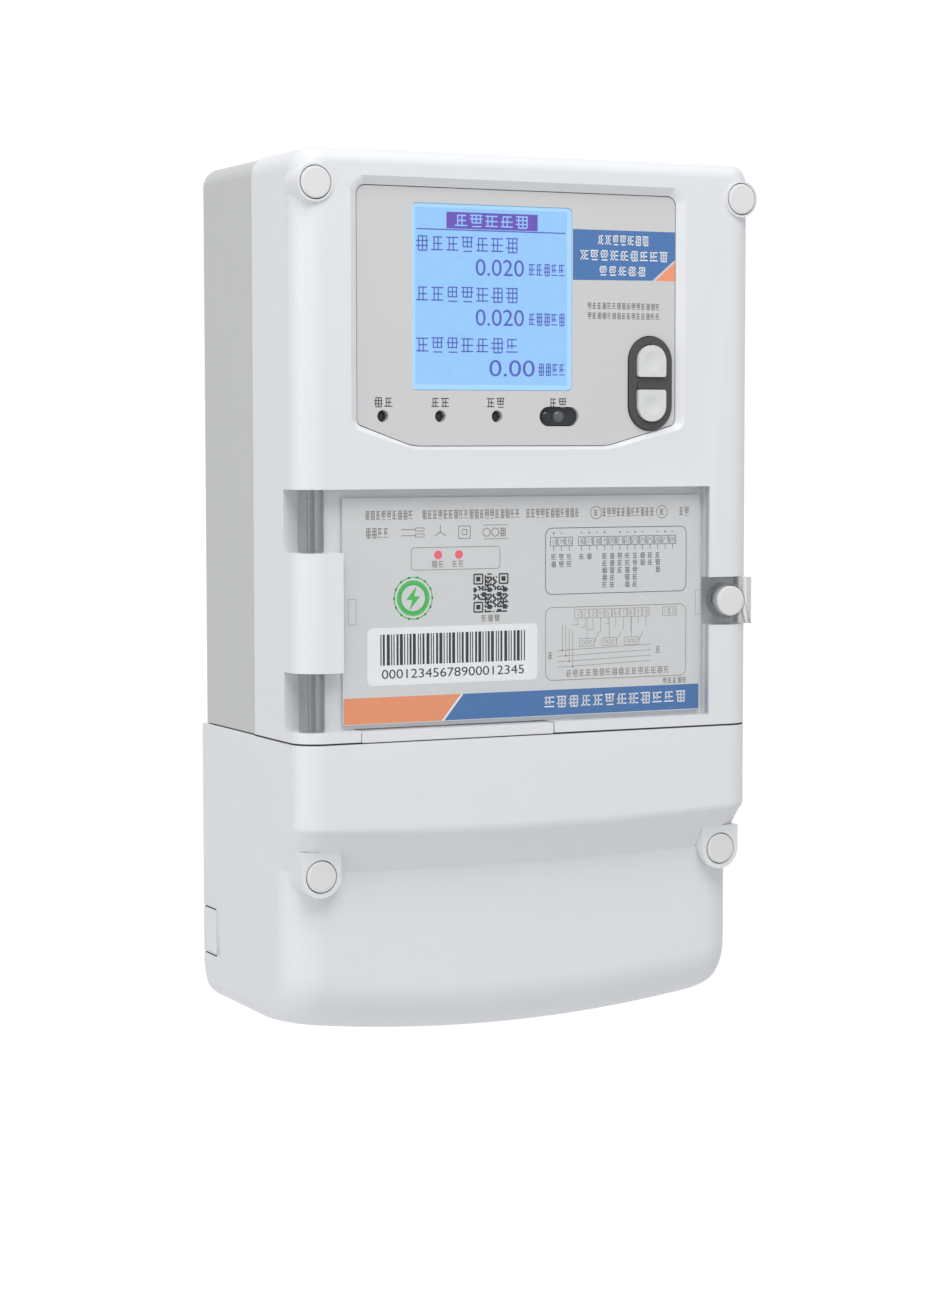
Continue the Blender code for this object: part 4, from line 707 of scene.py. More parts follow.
def make_rear_shell():
    """The grey rear half, with its wall plate, its screw pillars and the hanger's track."""
    outline = arch(CASE_STEP, SEAM, TOP_CORNER - CASE_STEP)
    steps = 8
    sections = [[(x, CASE_FRONT, z) for x, z in outline]]
    corner = Vector((SIDE - TOP_CORNER, TOP - TOP_CORNER))
    for step in range(steps + 1):
        angle = math.radians(90) * step / steps
        inset = CASE_ROUND * (1 - math.cos(angle))
        ring = []
        for x, z in outline:
            if z < corner.y + 0.01 * MM:
                normal = Vector((math.copysign(1, x), 0))
            else:
                normal = Vector((max(abs(x) - corner.x, 0), z - corner.y)).normalized()
                normal.x = math.copysign(normal.x, x)
            ring.append((x - normal.x * inset, -CASE_ROUND * (1 - math.sin(angle)), z - normal.y * inset))
        sections.append(ring)
    shell = loft("rear_shell", sections)
    room = arch(CASE_STEP + WALL, SEAM + WALL, TOP_CORNER - CASE_STEP - WALL)
    cut(shell, slab("room", "Y", [room], CASE_FRONT - PAST, -BACK_WALL))
    plate = SIDE - PLATE_INSET
    join(shell, box("plate", (-plate, -BACK_WALL, PLATE_LOW), (plate, 0, SEAM + WALL / 2)))
    for sign in (-1, 1):
        spot = (sign * TOP_BOSS[0], TOP_BOSS[1])
        join(shell, peg("pillar", spot, -BACK_WALL / 2, BOSS_BACK + GAP, TOP_PILLAR))
        cut(shell, peg("bore", spot, BOSS_BACK - WALL, BOSS_BACK + TOP_BORE_DEPTH, BORE))
        spot = (sign * LOW_BOSS[0], LOW_BOSS[1])
        join(shell, peg("low_pillar", spot, -BACK_WALL / 2, LOW_PILLAR_FRONT, PILLAR))
        cut(shell, peg("low_bore", spot, *LOW_BORE_Y, BORE))
        spot = (sign * WALL_HOLE[0], WALL_HOLE[1])
        cut(shell, peg("wall_hole", spot, -BACK_WALL - PAST, PAST, WALL_HOLE_RADIUS))
    for leg in LEG_X:
        high = (leg + LEG_HALF, LEG_Y[1], SEAM + WALL + PAST)
        cut(shell, box("leg", (leg - LEG_HALF, LEG_Y[0], -PAST), high))
    low_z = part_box("hanger_plate")[0].z - GAP
    cut(shell, box("track", (-TRACK_HALF, TRACK_Y[0], low_z), (TRACK_HALF, TRACK_Y[1], TOP + PAST)))
    cut(shell, box("mouth", (-MOUTH_HALF, MOUTH_FRONT, low_z), (MOUTH_HALF, PAST, TOP + PAST)))
    softened(shell, EDGE, angle=35)
    return dressed(shell, CASE, "case", "rear_case", slot="case_grey")


# How far the cover's top edge is drawn in, by height in mm.
TOP_EDGE_TUCK = {-0.15: 0.27, -0.3: 0.18}


def cover_profile(inset):
    """Rows of the terminal cover from its seam down to its underside.

    Each row is (height, front, back, side, corner radius, lift at the sides).
    """
    rows = []
    side = SIDE - inset
    front, lower = FRONT + inset, LOWER_FRONT + inset
    brow_low, crease = BROW_LOW + inset, CREASE + inset
    for height in (-0.15, -0.3, -0.6, -6.0, -12.0, -18.0, -24.0):
        tuck = TOP_EDGE_TUCK.get(height, 0) * MM
        rows.append((height * MM, front + tuck, 0, side - tuck, SIDE_ROUND - inset, 0.0))
    # The brow: a round that leans a little past a circle, then the slope in to the crease.
    for step in range(9):
        angle = math.radians(52) * step / 8
        height = brow_low + BROW_ROUND - BROW_ROUND * math.sin(angle) * 1.15
        lift = BROW_LIFT * min((height - BROW_START) / (brow_low - BROW_START), 1.0)
        rows.append((height, front + BROW_ROUND * (1 - math.cos(angle)), 0, side, SIDE_ROUND - inset, lift))
    start = rows[-1]
    for step in range(1, 9):
        share = step / 8
        bow = math.sin(math.pi * share) * 0.2 * MM
        height = start[0] + (crease - start[0]) * share + bow * 0.6
        depth = start[1] + (lower - start[1]) * share + bow * 0.8
        corner = SIDE_ROUND + (LOWER_ROUND - SIDE_ROUND) * share - inset
        rows.append((height, depth, 0, side, corner, BROW_LIFT + (CREASE_LIFT - BROW_LIFT) * share))
    rows.append((crease - 0.35 * MM, lower, 0, side, LOWER_ROUND - inset, CREASE_LIFT))
    bottom = BOTTOM + inset
    round_top = bottom + FRONT_BOTTOM_ROUND - inset
    for share in (0.25, 0.5, 0.75, 1.0):
        height = crease + (round_top - crease) * share
        lift = CREASE_LIFT + (ARC_RISE - CREASE_LIFT) * share
        rows.append((height, lower, 0, side, LOWER_ROUND - inset, lift))
    radius, back_radius = FRONT_BOTTOM_ROUND - inset, BACK_BOTTOM_ROUND - inset
    small = BOTTOM_SIDE_ROUND
    for step in range(1, 15):
        angle = math.radians(90) * step / 14
        height = round_top - radius * math.sin(angle)
        depth = lower + radius * (1 - math.cos(angle))
        drop = max(bottom + back_radius - height, 0.0)
        back = -(back_radius - math.sqrt(max(back_radius**2 - drop**2, 0.0)))
        drop = max(bottom + small - height, 0.0)
        tuck = small - math.sqrt(max(small**2 - drop**2, 0.0))
        rows.append((height, depth, back, side - tuck, LOWER_ROUND - inset, ARC_RISE))
    return rows


def cover_form(name, inset, top, back):
    """A closed solid on the rows of cover_profile, bowed up towards the sides."""
    rows = cover_profile(inset)
    if top:
        first = rows[0]
        rows = [(top, *first[1:])] + rows
    shape = bmesh.new()
    arc_steps, line_steps, side_steps = 10, 24, 4

    def lifted(x, y, z, lift):
        return (x, y, z + lift * (x / SIDE) ** 2)

    rings = []
    for height, front, row_back, side, corner, lift in rows:
        far = back if inset or row_back == 0 else row_back
        half = [(side, far + (front + corner - far) * step / side_steps) for step in range(side_steps)]
        for step in range(arc_steps + 1):
            angle = math.radians(90) * step / arc_steps
            half.append((side - corner + corner * math.cos(angle), front + corner - corner * math.sin(angle)))
        middle = half[-1][0]
        line = [(middle - 2 * middle * step / line_steps, front) for step in range(1, line_steps)]
        ring = half + line + [(-x, y) for x, y in reversed(half)]
        rings.append([shape.verts.new(lifted(x, y, height, lift)) for x, y in ring])
    for ring, following in zip(rings, rings[1:]):
        for index in range(len(ring) - 1):
            shape.faces.new((ring[index], ring[index + 1], following[index + 1], following[index]))
        shape.faces.new((ring[-1], ring[0], following[0], following[-1]))
    shape.faces.new(rings[0])
    last, lift = rings[-1], rows[-1][5]
    count = side_steps + arc_steps
    previous = None
    for index in range(count + 1):
        right, left = last[index], last[-1 - index]
        if index == count:
            row = last[count : len(last) - count]
        else:
            row = [right]
            for step in range(1, line_steps):
                x = right.co.x * (1 - 2 * step / line_steps)
                base = right.co.z - lift * (right.co.x / SIDE) ** 2
                row.append(shape.verts.new(lifted(x, right.co.y, base, lift)))
            row.append(left)
        if previous:
            for step in range(line_steps):
                shape.faces.new((previous[step], previous[step + 1], row[step + 1], row[step]))
        previous = row
    bmesh.ops.holes_fill(shape, edges=[edge for edge in shape.edges if edge.is_boundary])
    return place(name, shape)


def make_terminal_cover():
    """The cover over the terminals: its shell, the D-shaped bosses, the cable entry and the knock-outs, with
    a dark ring of painted shadow sunk in each knock-out's groove.
    """
    cover = cover_form("terminal_shell", 0, 0, 0)
    cut(cover, cover_form("room", WALL, PAST, PAST))
    high = (ENTRY_HALF, PAST, BOTTOM + ENTRY_RISE)
    cut(cover, box("entry", (-ENTRY_HALF, ENTRY_FRONT, BOTTOM - PAST), high))
    back = LOWER_FRONT + 3 * WALL
    for sign in (-1, 1):
        spot = x, z = sign * LOW_BOSS[0], LOW_BOSS[1]
        boss = peg("boss", spot, LOW_FACE, back, LOW_RADIUS, sides=64)
        join(boss, box("neck", (x - LOW_RADIUS, LOW_FACE, z), (x + LOW_RADIUS, back, z + LOW_RISE)))
        join(cover, boss)
        join(cover, peg("tube", spot, LOWER_FRONT, TUBE_BACK, PILLAR))
        cut(cover, peg("recess", spot, LOW_FACE - WALL, LOW_FACE + RECESS_DEPTH, RECESS))
        cut(cover, peg("way", spot, LOW_FACE, TUBE_BORE_BACK, BORE))
    softened(cover, EDGE, angle=38)
    thin, (low, high) = SLOT_WIDTH, KNOCKOUT_Z
    outer = rectangle((KNOCKOUT_FRONT, PAST), (low, high), KNOCKOUT_ROUND)
    inner = rectangle((KNOCKOUT_FRONT + thin, 2 * PAST), (low + thin, high - thin), KNOCKOUT_ROUND - 0.5 * MM)

    def knockout_ring(name, *ends):
        ring = slab(name, "X", [outer], *ends)
        return cut(ring, slab("core", "X", [inner], ends[0] - PAST, ends[1] + PAST))

    for sign, side in ((-1, "left"), (1, "right")):
        ends = sorted((sign * (SIDE - SLOT_DEPTH), sign * (SIDE + PAST)))
        cut(cover, knockout_ring("groove", *ends))
        # Painted shadow: a dark ring sunk in each groove makes the knock-out's slot read dark.
        ends = sorted((sign * (SIDE - SLOT_DEPTH), sign * (SIDE - 0.4 * MM)))
        slot_shadow = knockout_ring("knockout_shadow_" + side, *ends)
        combine(slot_shadow, "INTERSECT", box("limit", (-SIDE, -70.0 * MM, BOTTOM), (SIDE, -0.5 * MM, 0)))
        dressed(smoothed(slot_shadow), RUBBER_AND_PAINTED_SHADOW, "terminal_cover", slot="cover_white")
    smoothed(cover, 38)
    return dressed(cover, WHITE, "terminal_cover", "terminal_cover", slot="cover_white")


# ---------------------------------------------------------------- caps, buttons, indicators


def make_caps():
    """The five captive seal screws: a wide crowned cap on a shank."""
    caps = (
        ("cover_seal_screw_left", "cover_screw_left", -TOP_BOSS[0], TOP_BOSS[1], -91.1),
        ("cover_seal_screw_right", "cover_screw_right", TOP_BOSS[0], TOP_BOSS[1], -91.1),
        ("terminal_seal_screw_left", "terminal_screw_left", -LOW_BOSS[0], LOW_BOSS[1], -84.8),
        ("terminal_seal_screw_right", "terminal_screw_right", LOW_BOSS[0], LOW_BOSS[1], -84.8),
        ("door_seal_screw", "door_screw", *DOOR_BOSS, -91.3),
    )
    for node, body, x, z, front in caps:
        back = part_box(node)[1].y
        front *= MM
        floor = front + (3.6 * MM if body == "door_screw" else 4.2 * MM)
        crown = ((0.9, 0), (0.35, -0.04), (0.1, -0.16), (0, -0.45))
        profile = [(0, 0)] + [(CAP - drawn_in * MM, height * MM) for drawn_in, height in crown]
        profile += [(CAP, front - floor), (SHANK, front - floor), (SHANK, front - back), (0, front - back)]
        cap = turned(node + "_cap", "Y", (x, front, z), profile)
        smoothed(cap, 40)
        dressed(cap, CAP_WHITE, body, node, slot="cover_white")


def make_fascia():
    loops = [panel_outline(PANEL_BEVEL + GAP, PANEL_LOW_BEVEL + GAP), rectangle(LCD_X, LCD_Z, LCD_CORNER)]
    loops += [bezel_outline(GAP), ir_outline(0)]
    fascia = slab("fascia_film", "Y", loops, FASCIA_FRONT, FASCIA_BACK)
    for x in LED_X:
        cut(fascia, peg("led", (x, LED_Z), FASCIA_FRONT - WALL, FASCIA_BACK + WALL, LED_HOLE))
    softened(fascia, 0.12 * MM, angle=50)
    dressed(fascia, FASCIA, "case", "fascia", slot="fascia_grey")


def make_screen():
    """The display's lit face with its border; the marks it shows are drawn by print_screen."""
    across, up = (LCD_X[0] + GAP, LCD_X[1] - GAP), (LCD_Z[0] + GAP, LCD_Z[1] - GAP)
    outer = rectangle(across, up, LCD_CORNER)
    pane = slab("display_pane", "Y", [outer], FASCIA_FRONT - 0.1 * MM, FASCIA_BACK)
    softened(pane, 0.35 * MM, segments=3, angle=50)
    dressed(pane, SCREEN_EDGE, "case", "lcd_window", slot="clear")
    outline = rectangle((-42.9 * MM, 12.9 * MM), (116.8 * MM, 174.4 * MM), 0.4 * MM)
    face = slab("display_face", "Y", [outline], FASCIA_FRONT - 0.12 * MM, FASCIA_FRONT - 0.1 * MM)
    dressed(face, SCREEN, "case", slot="display_blue")


def make_indicators():
    for number, x in enumerate(LED_X, 1):
        node = f"light_pipe_{number}"
        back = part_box(node)[1].y
        front = FASCIA_FRONT + 1.5 * MM
        profile = [(0, 0), (0.6, -0.05), (1.1, -0.22), (1.5, -0.55), (1.65, -1.0), (1.65, -4.0), (2.8, -4.0)]
        profile = [(radius * MM, height * MM) for radius, height in profile]
        profile += [(2.8 * MM, front - back), (0, front - back)]
        pipe = turned(f"indicator_{number}", "Y", (x, front, LED_Z), profile, sides=40)
        smoothed(pipe, 50)
        dressed(pipe, SMOKE, "case", node, slot="clear")
    front = FASCIA_FRONT + 1.2 * MM
    window = slab("optical_window", "Y", [ir_outline(0.3 * MM)], front, PANEL_BACK)
    softened(window, 0.2 * MM, angle=50)
    dressed(window, SMOKE, "case", "ir_window", slot="dark_plastic")
    for number, x in enumerate((5.9 * MM, 10.4 * MM), 1):
        profile = [(0, 0.9), (0.9, 0.78), (1.7, 0.42), (2.1, 0.05), (2.1, -0.2), (0, -0.2)]
        profile = [(radius * MM, height * MM) for radius, height in profile]
        lens = turned(f"optical_lens_{number}", "Y", (x, front, LED_Z), profile)
        smoothed(lens, 50)
        dressed(lens, LENS if number == 2 else SMOKE, "case", slot="dark_plastic")


def make_buttons():
    loops = [bezel_outline(0), button_outline("up", 0), button_outline("down", 0)]
    bezel = slab("button_frame", "Y", loops, FASCIA_FRONT - 0.8 * MM, PANEL_BACK)
    softened(bezel, 0.35 * MM, segments=3, angle=50)
    dressed(bezel, DARK, "case", "button_bezel", slot="dark_plastic")
    for part in ("up", "down"):
        low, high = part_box(f"button_{part}")
        button = slab(f"push_button_{part}", "Y", [button_outline(part, -GAP)], low.y, high.y)
        flange = slab("flange", "Y", [button_outline(part, 1.0 * MM)], high.y - 1.0 * MM, high.y)
        join(button, flange)
        height = sum(BEZEL_Z) / 2 + (DISH_RISE if part == "up" else -DISH_RISE)
        centre = Matrix.Translation((sum(BEZEL_X) / 2, low.y - DISH_RADIUS + DISH_DEPTH, height))
        ball = bmesh.new()
        bmesh.ops.create_uvsphere(ball, u_segments=64, v_segments=48, radius=DISH_RADIUS, matrix=centre)
        cut(button, place("dish", ball))
        softened(button, EDGE, angle=40)
        dressed(button, BUTTON, f"button_{part}", f"button_{part}", slot="button_grey")


def make_door():
    """The clear door: its panel, a tab with a flange, two barrels on the pins, the ring round the screw."""
    low, high = DOOR_Z[0] + GAP, DOOR_Z[1] - GAP
    arms = ((BRIDGE_Z[1] + GAP, high), (low, BRIDGE_Z[0] - GAP))
    edge = -SIDE + BRIDGE_WIDTH + 1.0 * MM
    hinge_edge = HINGE[0] + 1.0 * MM
    side = SIDE - 0.5 * MM
    right = DOOR_RIGHT - GAP
    panel = door_outline(edge, hinge_edge, right, side, GAP)
    door = slab("door_panel", "Y", [panel], DOOR_FRONT, DOOR_BACK)
    flange = (side, FRONT + NOTCH_DEPTH - 2 * GAP, NOTCH_Z[1] - GAP)
    join(door, box("flange", (side - 2.0 * MM, DOOR_FRONT, NOTCH_Z[0] + GAP), flange))
    for number, (start, end) in enumerate(arms, 1):
        profile = [(PIN_BORE, start), (BARREL - EDGE, start), (BARREL, start + EDGE), (BARREL, end - EDGE)]
        profile += [(BARREL - EDGE, end), (PIN_BORE, end), (PIN_BORE, start)]
        barrel = turned(f"door_barrel_{number}", "Z", (*HINGE, 0), profile)
        dressed(smoothed(barrel), CLEAR_PAINTED_SHADE, "door", slot="clear")
    face, back = FRONT - GAP, FRONT + 5.5 * MM
    join(door, peg("boss", DOOR_BOSS, face, back, BOSS_RING, sides=64))
    cut(door, peg("recess", DOOR_BOSS, face - WALL, face + 2.7 * MM, RECESS))
    cut(door, peg("way", DOOR_BOSS, face - WALL, back + WALL, BORE))
    softened(door, 0.25 * MM, angle=40)
    dressed(door, CLEAR, "door", "clear_door", slot="clear")
    # Painted shade: the tab and its flange take the grey clear material, for the shaded notch seen through
    # them.
    door.data.materials.append(CLEAR_PAINTED_SHADE)
    for face in door.data.polygons:
        if min(door.data.vertices[index].co.x for index in face.vertices) > DOOR_RIGHT - 0.5 * MM:
            face.material_index = 1


def make_seam_strip():
    """A dark strip sunk in the gap between the upper body and the terminal cover: painted shadow along the
    seam.
    """
    loops = []
    for inset in (0.1 * MM, 2.0 * MM):
        side, front, corner = SIDE - inset, FRONT + inset, SIDE_ROUND - inset
        ends = [(side, CASE_FRONT, 0), (-side, CASE_FRONT, 0)]
        loops.append(rounded([(-side, front, corner), (side, front, corner), *ends]))
    strip = slab("seam_shadow_strip", "Z", [loops[0]], -0.14 * MM, 0.38 * MM)
    cut(strip, slab("core", "Z", [loops[1]], -1.0 * MM, 1.0 * MM))
    # The dark rubber material here paints the seam's shadow.
    dressed(smoothed(strip), RUBBER_AND_PAINTED_SHADOW, "case", slot="gasket_rubber")


def make_name_plate():
    low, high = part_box("name_plate")
    outline = rectangle((low.x, high.x), (low.z, high.z), 0.5 * MM)
    plate = slab("name_plate_film", "Y", [outline], low.y, high.y)
    softened(plate, 0.12 * MM, angle=50)
    dressed(plate, LABEL, "case", "name_plate", slot="label_silver")
    low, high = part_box("sill_strip")
    sill = slab("sill_bar", "Z", [rectangle((low.x, high.x), (low.y, high.y), 0)], low.z, high.z)
    softened(sill, EDGE, angle=50)
    dressed(sill, WHITE, "case", "sill_strip", slot="cover_white")


# ---------------------------------------------------------------- print


# Each segment of a numeral is (x, z, x, z) in its cell, and each numeral from 0 to 9 lists its segments.
SEGMENTS = {
    "a": (0.15, 1, 0.85, 1), "b": (1, 0.92, 1, 0.56), "c": (1, 0.44, 1, 0.08), "d": (0.15, 0, 0.85, 0),
    "e": (0, 0.44, 0, 0.08), "f": (0, 0.92, 0, 0.56), "g": (0.15, 0.5, 0.85, 0.5),
    "h": (0, 0.4, 0, 0.6), "i": (1, 0.4, 1, 0.6),
}
NUMERALS = ("abcdefhi", "bc", "abged", "abgcd", "fgbc", "afgcd", "afgedch", "abc", "abcdefg", "abcdfg")


def circle(centre, radius, sides):
    turns = [2 * math.pi * step / sides for step in range(sides)]
    return [(centre[0] + radius * math.cos(turn), centre[1] + radius * math.sin(turn)) for turn in turns]


class Print:
    """Flat marks on one plane facing the front, in millimetres, gathered into one mesh for each ink."""

    def __init__(self, y):
        self.y, self.shapes = y, {}

    def shape(self, finish):
        return self.shapes.setdefault(finish.name, (finish, bmesh.new()))[1]

    def polygon(self, finish, points, level=0):
        shape = self.shape(finish)
        y = self.y - (level + 1) * STROKE
        shape.faces.new([shape.verts.new((x * MM, y, z * MM)) for x, z in points])

    def bar(self, finish, left, right, low, high, level=0):
        self.polygon(finish, [(left, low), (right, low), (right, high), (left, high)], level)

    def line(self, finish, start, end, width):
        start, end = Vector(start), Vector(end)
        across = (end - start).normalized().orthogonal() * (width / 2)
        self.polygon(finish, [start - across, end - across, end + across, start + across])

    def path(self, finish, points, width):
        for start, end in zip(points, points[1:]):
            self.line(finish, start, end, width)

    def loop(self, finish, points, width):
        self.path(finish, [*points, points[0]], width)

    def ring(self, finish, centre, radius, width, sides=40):
        self.loop(finish, circle(centre, radius, sides), width)

    def disc(self, finish, centre, radius, sides=40):
        self.polygon(finish, circle(centre, radius, sides))

    def frame(self, finish, left, right, low, high, width, radius=0.0):
        corners = [(left, low, radius), (right, low, radius), (right, high, radius), (left, high, radius)]
        self.loop(finish, rounded(corners, 6), width)

    def text(self, finish, words, left, right, low, high, level=0):
        """Plain numerals, fitted to the space given."""
        curve = bpy.data.curves.new("numerals", "FONT")
        curve.body = words
        guide = bpy.data.objects.new("numerals", curve)
        bpy.context.scene.collection.objects.link(guide)
        bpy.context.view_layer.update()
        mesh = bpy.data.meshes.new_from_object(guide.evaluated_get(bpy.context.evaluated_depsgraph_get()))
        bpy.data.objects.remove(guide, do_unlink=True)
        across = [corner.co.x for corner in mesh.vertices]
        up = [corner.co.y for corner in mesh.vertices]
        wide, tall = (right - left) / (max(across) - min(across)), (high - low) / (max(up) - min(up))
        for corner in mesh.vertices:
            x, z = left + (corner.co.x - min(across)) * wide, low + (corner.co.y - min(up)) * tall
            corner.co = (x * MM, self.y - (level + 1) * STROKE, z * MM)
        self.shape(finish).from_mesh(mesh)
        bpy.data.meshes.remove(mesh)

    def digits(self, finish, number, left, low):
        """A small number in block numerals."""
        cell, wide, tall = 1.08, 0.67, 1.7
        for place, letter in enumerate(str(number)):
            pen = left + cell * place
            for name in NUMERALS[int(letter)]:
                x0, z0, x1, z1 = SEGMENTS[name]
                ends = (pen + x0 * wide, low + z0 * tall), (pen + x1 * wide, low + z1 * tall)
                self.line(finish, *ends, 0.18)

    def greeked(self, finish, left, right, low, high, count, weight, seed, level=0):
        """A row of made-up block signs that stand for a line of words."""
        pitch = (right - left) / count
        wide, tall, half = pitch * 0.80, high - low, weight / 2
        for index in range(count):
            x = left + pitch * index
            mix = (index * 37 + seed * 61) % 97
            for step, up in enumerate((0.04, 0.34, 0.66, 0.96) if mix % 2 else (0.10, 0.50, 0.92)):
                short = 0.18 * wide if (mix >> step) % 2 else 0.0
                z = low + up * tall
                self.bar(finish, x + short, x + wide - short / 2, z - half, z + half, level)
            start = low + tall * (0.05 if mix % 3 else 0.3)
            for step in range(2 + mix % 2):
                across = x + wide * (0.16 + 0.34 * step + 0.04 * (mix % 3))
                self.bar(finish, across - half, across + half, start, low + tall * 0.95, level)

    def rows(self, finish, *rows, level=0):
        """Rows of signs, each as (left, right, low, high, count, weight, seed)."""
        for row in rows:
            self.greeked(finish, *row, level=level)

    def finish_to(self, name, slot):
        for number, (finish, shape) in enumerate(self.shapes.values(), 1):
            mesh = bpy.data.meshes.new(name)
            for face in shape.faces:
                face.normal_update()
                if face.normal.y > 0:
                    face.normal_flip()
            shape.to_mesh(mesh)
            shape.free()
            obj = bpy.data.objects.new(f"{name}_{number}", mesh)
            bpy.context.scene.collection.objects.link(obj)
            dressed(obj, finish, "case", slot=slot)


def print_screen():
    marks = Print(FASCIA_FRONT - 0.12 * MM)
    marks.bar(SCREEN_BAR, -31.6, 1.9, 167.7, 173.1)
    marks.bar(SCREEN_INK, -42.4, 12.4, 167.1, 167.5)
    marks.rows(SCREEN, (-28.6, -0.6, 168.4, 172.4, 5, 0.42, 5), level=1)
    table = (
        (160.2, "0.020", -21.0, -3.2, -1.4, 5),
        (143.8, "0.020", -21.0, -3.2, -1.4, 5),
        (127.2, "0.00", -16.0, 0.8, 2.2, 4),
    )
    for row, (low, figures, left, right, unit, count) in enumerate(table):
        marks.greeked(SCREEN_INK, -42.6, -4.4, low, low + 5.0, 7, 0.42, row + 2)
        marks.text(SCREEN_INK, figures, left, right, low - 7.6, low - 2.2)
        marks.greeked(SCREEN_INK, unit, 12.6, low - 7.3, low - 3.2, count, 0.36, row + 9)
    marks.finish_to("display_marks", "display_blue")


def print_fascia():
    marks = Print(FASCIA_FRONT)
    marks.polygon(BLUE_INK, [(15.2, 152.0), (45.6, 152.4), (54.4, 159.6), (54.4, 168.9), (15.2, 168.9)])
    marks.polygon(ORANGE_INK, [(46.9, 152.4), (54.4, 152.4), (54.4, 158.7)])
    marks.rows(
        WHITE_INK,
        (24.6, 44.6, 164.0, 167.2, 7, 0.36, 3),
        (18.0, 52.2, 158.8, 162.1, 9, 0.38, 4),
        (25.2, 43.6, 153.8, 156.8, 5, 0.36, 6),
        level=1,
    )
    marks.rows(GREY_INK, (20.8, 48.8, 142.5, 144.6, 15, 0.26, 7), (20.8, 48.8, 139.2, 141.3, 15, 0.26, 8))
    for seed, left in enumerate((-57.6, -37.2, -16.9, 6.3), 2):
        marks.greeked(DARK_INK, left, left + 7.2, 109.3, 112.5, 2, 0.34, seed)
    marks.finish_to("fascia_print", "fascia_grey")


def print_ratings(marks):
    """The label's upper rows: rating signs, class symbols and the two pulse lamps."""
    words = ((-60.0, -42.5, 9), (-39.4, -3.2, 19), (-1.2, 19.2, 11), (27.8, 48.2, 11), (57.8, 62.0, 2))
    for seed, (left, right, count) in enumerate(words, 1):
        marks.greeked(GREY_INK, left, right, 72.6, 75.6, count, 0.26, seed)
    for x, seed in ((25.4, 4), (51.0, 9)):
        marks.ring(GREY_INK, (x, 74.0), 2.1, 0.28)
        marks.greeked(GREY_INK, x - 0.8, x + 1.0, 73.0, 75.0, 1, 0.26, seed)
    marks.greeked(GREY_INK, -59.8, -51.2, 66.6, 70.0, 4, 0.3, 11)
    for z in (67.3, 69.3):
        marks.line(GREY_INK, (-47.0, z), (-42.0, z), 0.3)
        marks.frame(GREY_INK, -42.0, -38.8, z - 0.5, z + 0.5, 0.25)
    star = (-32.9, 68.3)
    for angle in (210, 330, 450):
        turn = math.radians(angle)
        marks.line(GREY_INK, star, (star[0] + 2.4 * math.cos(turn), star[1] + 2.4 * math.sin(turn)), 0.32)
    marks.frame(GREY_INK, -26.2, -21.9, 66.1, 70.2, 0.3)
    marks.frame(GREY_INK, -24.9, -23.2, 67.3, 69.0, 0.3)
    for x in (-15.9, -12.7):
        marks.ring(GREY_INK, (x, 68.0), 1.35, 0.35)
    marks.line(GREY_INK, (-17.2, 70.4), (-8.0, 70.4), 0.25)
    marks.line(GREY_INK, (-17.0, 65.8), (-8.0, 65.8), 0.25)
    marks.greeked(GREY_INK, -11.0, -8.2, 66.6, 69.4, 1, 0.3, 12)
    marks.frame(GREY_INK, -43.5, -10.9, 55.9, 63.3, 0.24, radius=1.2)
    for x in (-33.7, -26.1):
        marks.disc(RED_INK, (x, 60.8), 1.45)
    marks.rows(GREY_INK, (-36.0, -31.2, 56.6, 58.8, 2, 0.24, 13), (-28.6, -23.9, 56.6, 58.8, 2, 0.24, 14))


def print_seal(marks):
    """A green ring with teeth round a bolt sign."""
    centre, teeth = (-42.8, 46.7), 14
    marks.ring(GREEN_INK, centre, 6.9, 0.35)
    marks.ring(GREEN_INK, centre, 5.1, 1.6)
    for near, far in zip(circle(centre, 6.6, teeth), circle(centre, 7.3, teeth)):
        marks.line(GREEN_INK, near, far, 0.7)
    bolt = [(-41.6, 50.6), (-45.3, 46.2), (-43.1, 46.2), (-44.2, 42.6), (-40.3, 47.3), (-42.5, 47.3)]
    marks.polygon(GREEN_INK, bolt, 1)


def print_codes(marks):
    """A square pattern and a row of bars that carry no data."""
    cell, left, high, count, corner = 0.52, -20.8, 54.3, 25, 8
    for row in range(count):
        for column in range(count):
            sides = column < corner or column >= count - corner
            in_corner = (row < corner and sides) or (row >= count - corner and column < corner)
            if in_corner or (row * row * 7 + column * column * 13 + row * column * 5 + row * 3) % 11 > 5:
                continue
            x, z = left + column * cell, high - row * cell
            marks.bar(BLACK_INK, x, x + cell, z - cell, z)
    for column, row in ((0, 0), (18, 0), (0, 18)):
        x, z = left + column * cell, high - row * cell
        marks.frame(BLACK_INK, x + 0.25, x + 6.6 * cell, z - 6.6 * cell, z - 0.25, 0.5)
        marks.bar(BLACK_INK, x + 2 * cell, x + 5 * cell, z - 5 * cell, z - 2 * cell)
    marks.greeked(GREY_INK, -17.9, -10.6, 38.3, 40.4, 3, 0.28, 15)

    sticker = rounded([(-59.4, 18.2, 2.0), (3.1, 18.2, 2.0), (3.1, 37.2, 2.0), (-59.4, 37.2, 2.0)], 8)
    marks.polygon(WHITE_INK, sticker)
    pen, index = -54.7, 0
    while pen < -1.6:
        wide = (0.40, 0.75, 0.40, 1.10, 0.40, 0.55)[(index * 7 + index // 2) % 6]
        marks.bar(BLACK_INK, pen, min(pen + wide, -1.4), 24.8, 35.0, 1)
        pen += wide + (0.45, 0.70, 0.45, 1.00)[(index * 5 + index // 3) % 4]
        index += 1
    marks.text(BLACK_INK, "00012345678900012345", -54.2, -2.0, 20.4, 23.4, 1)


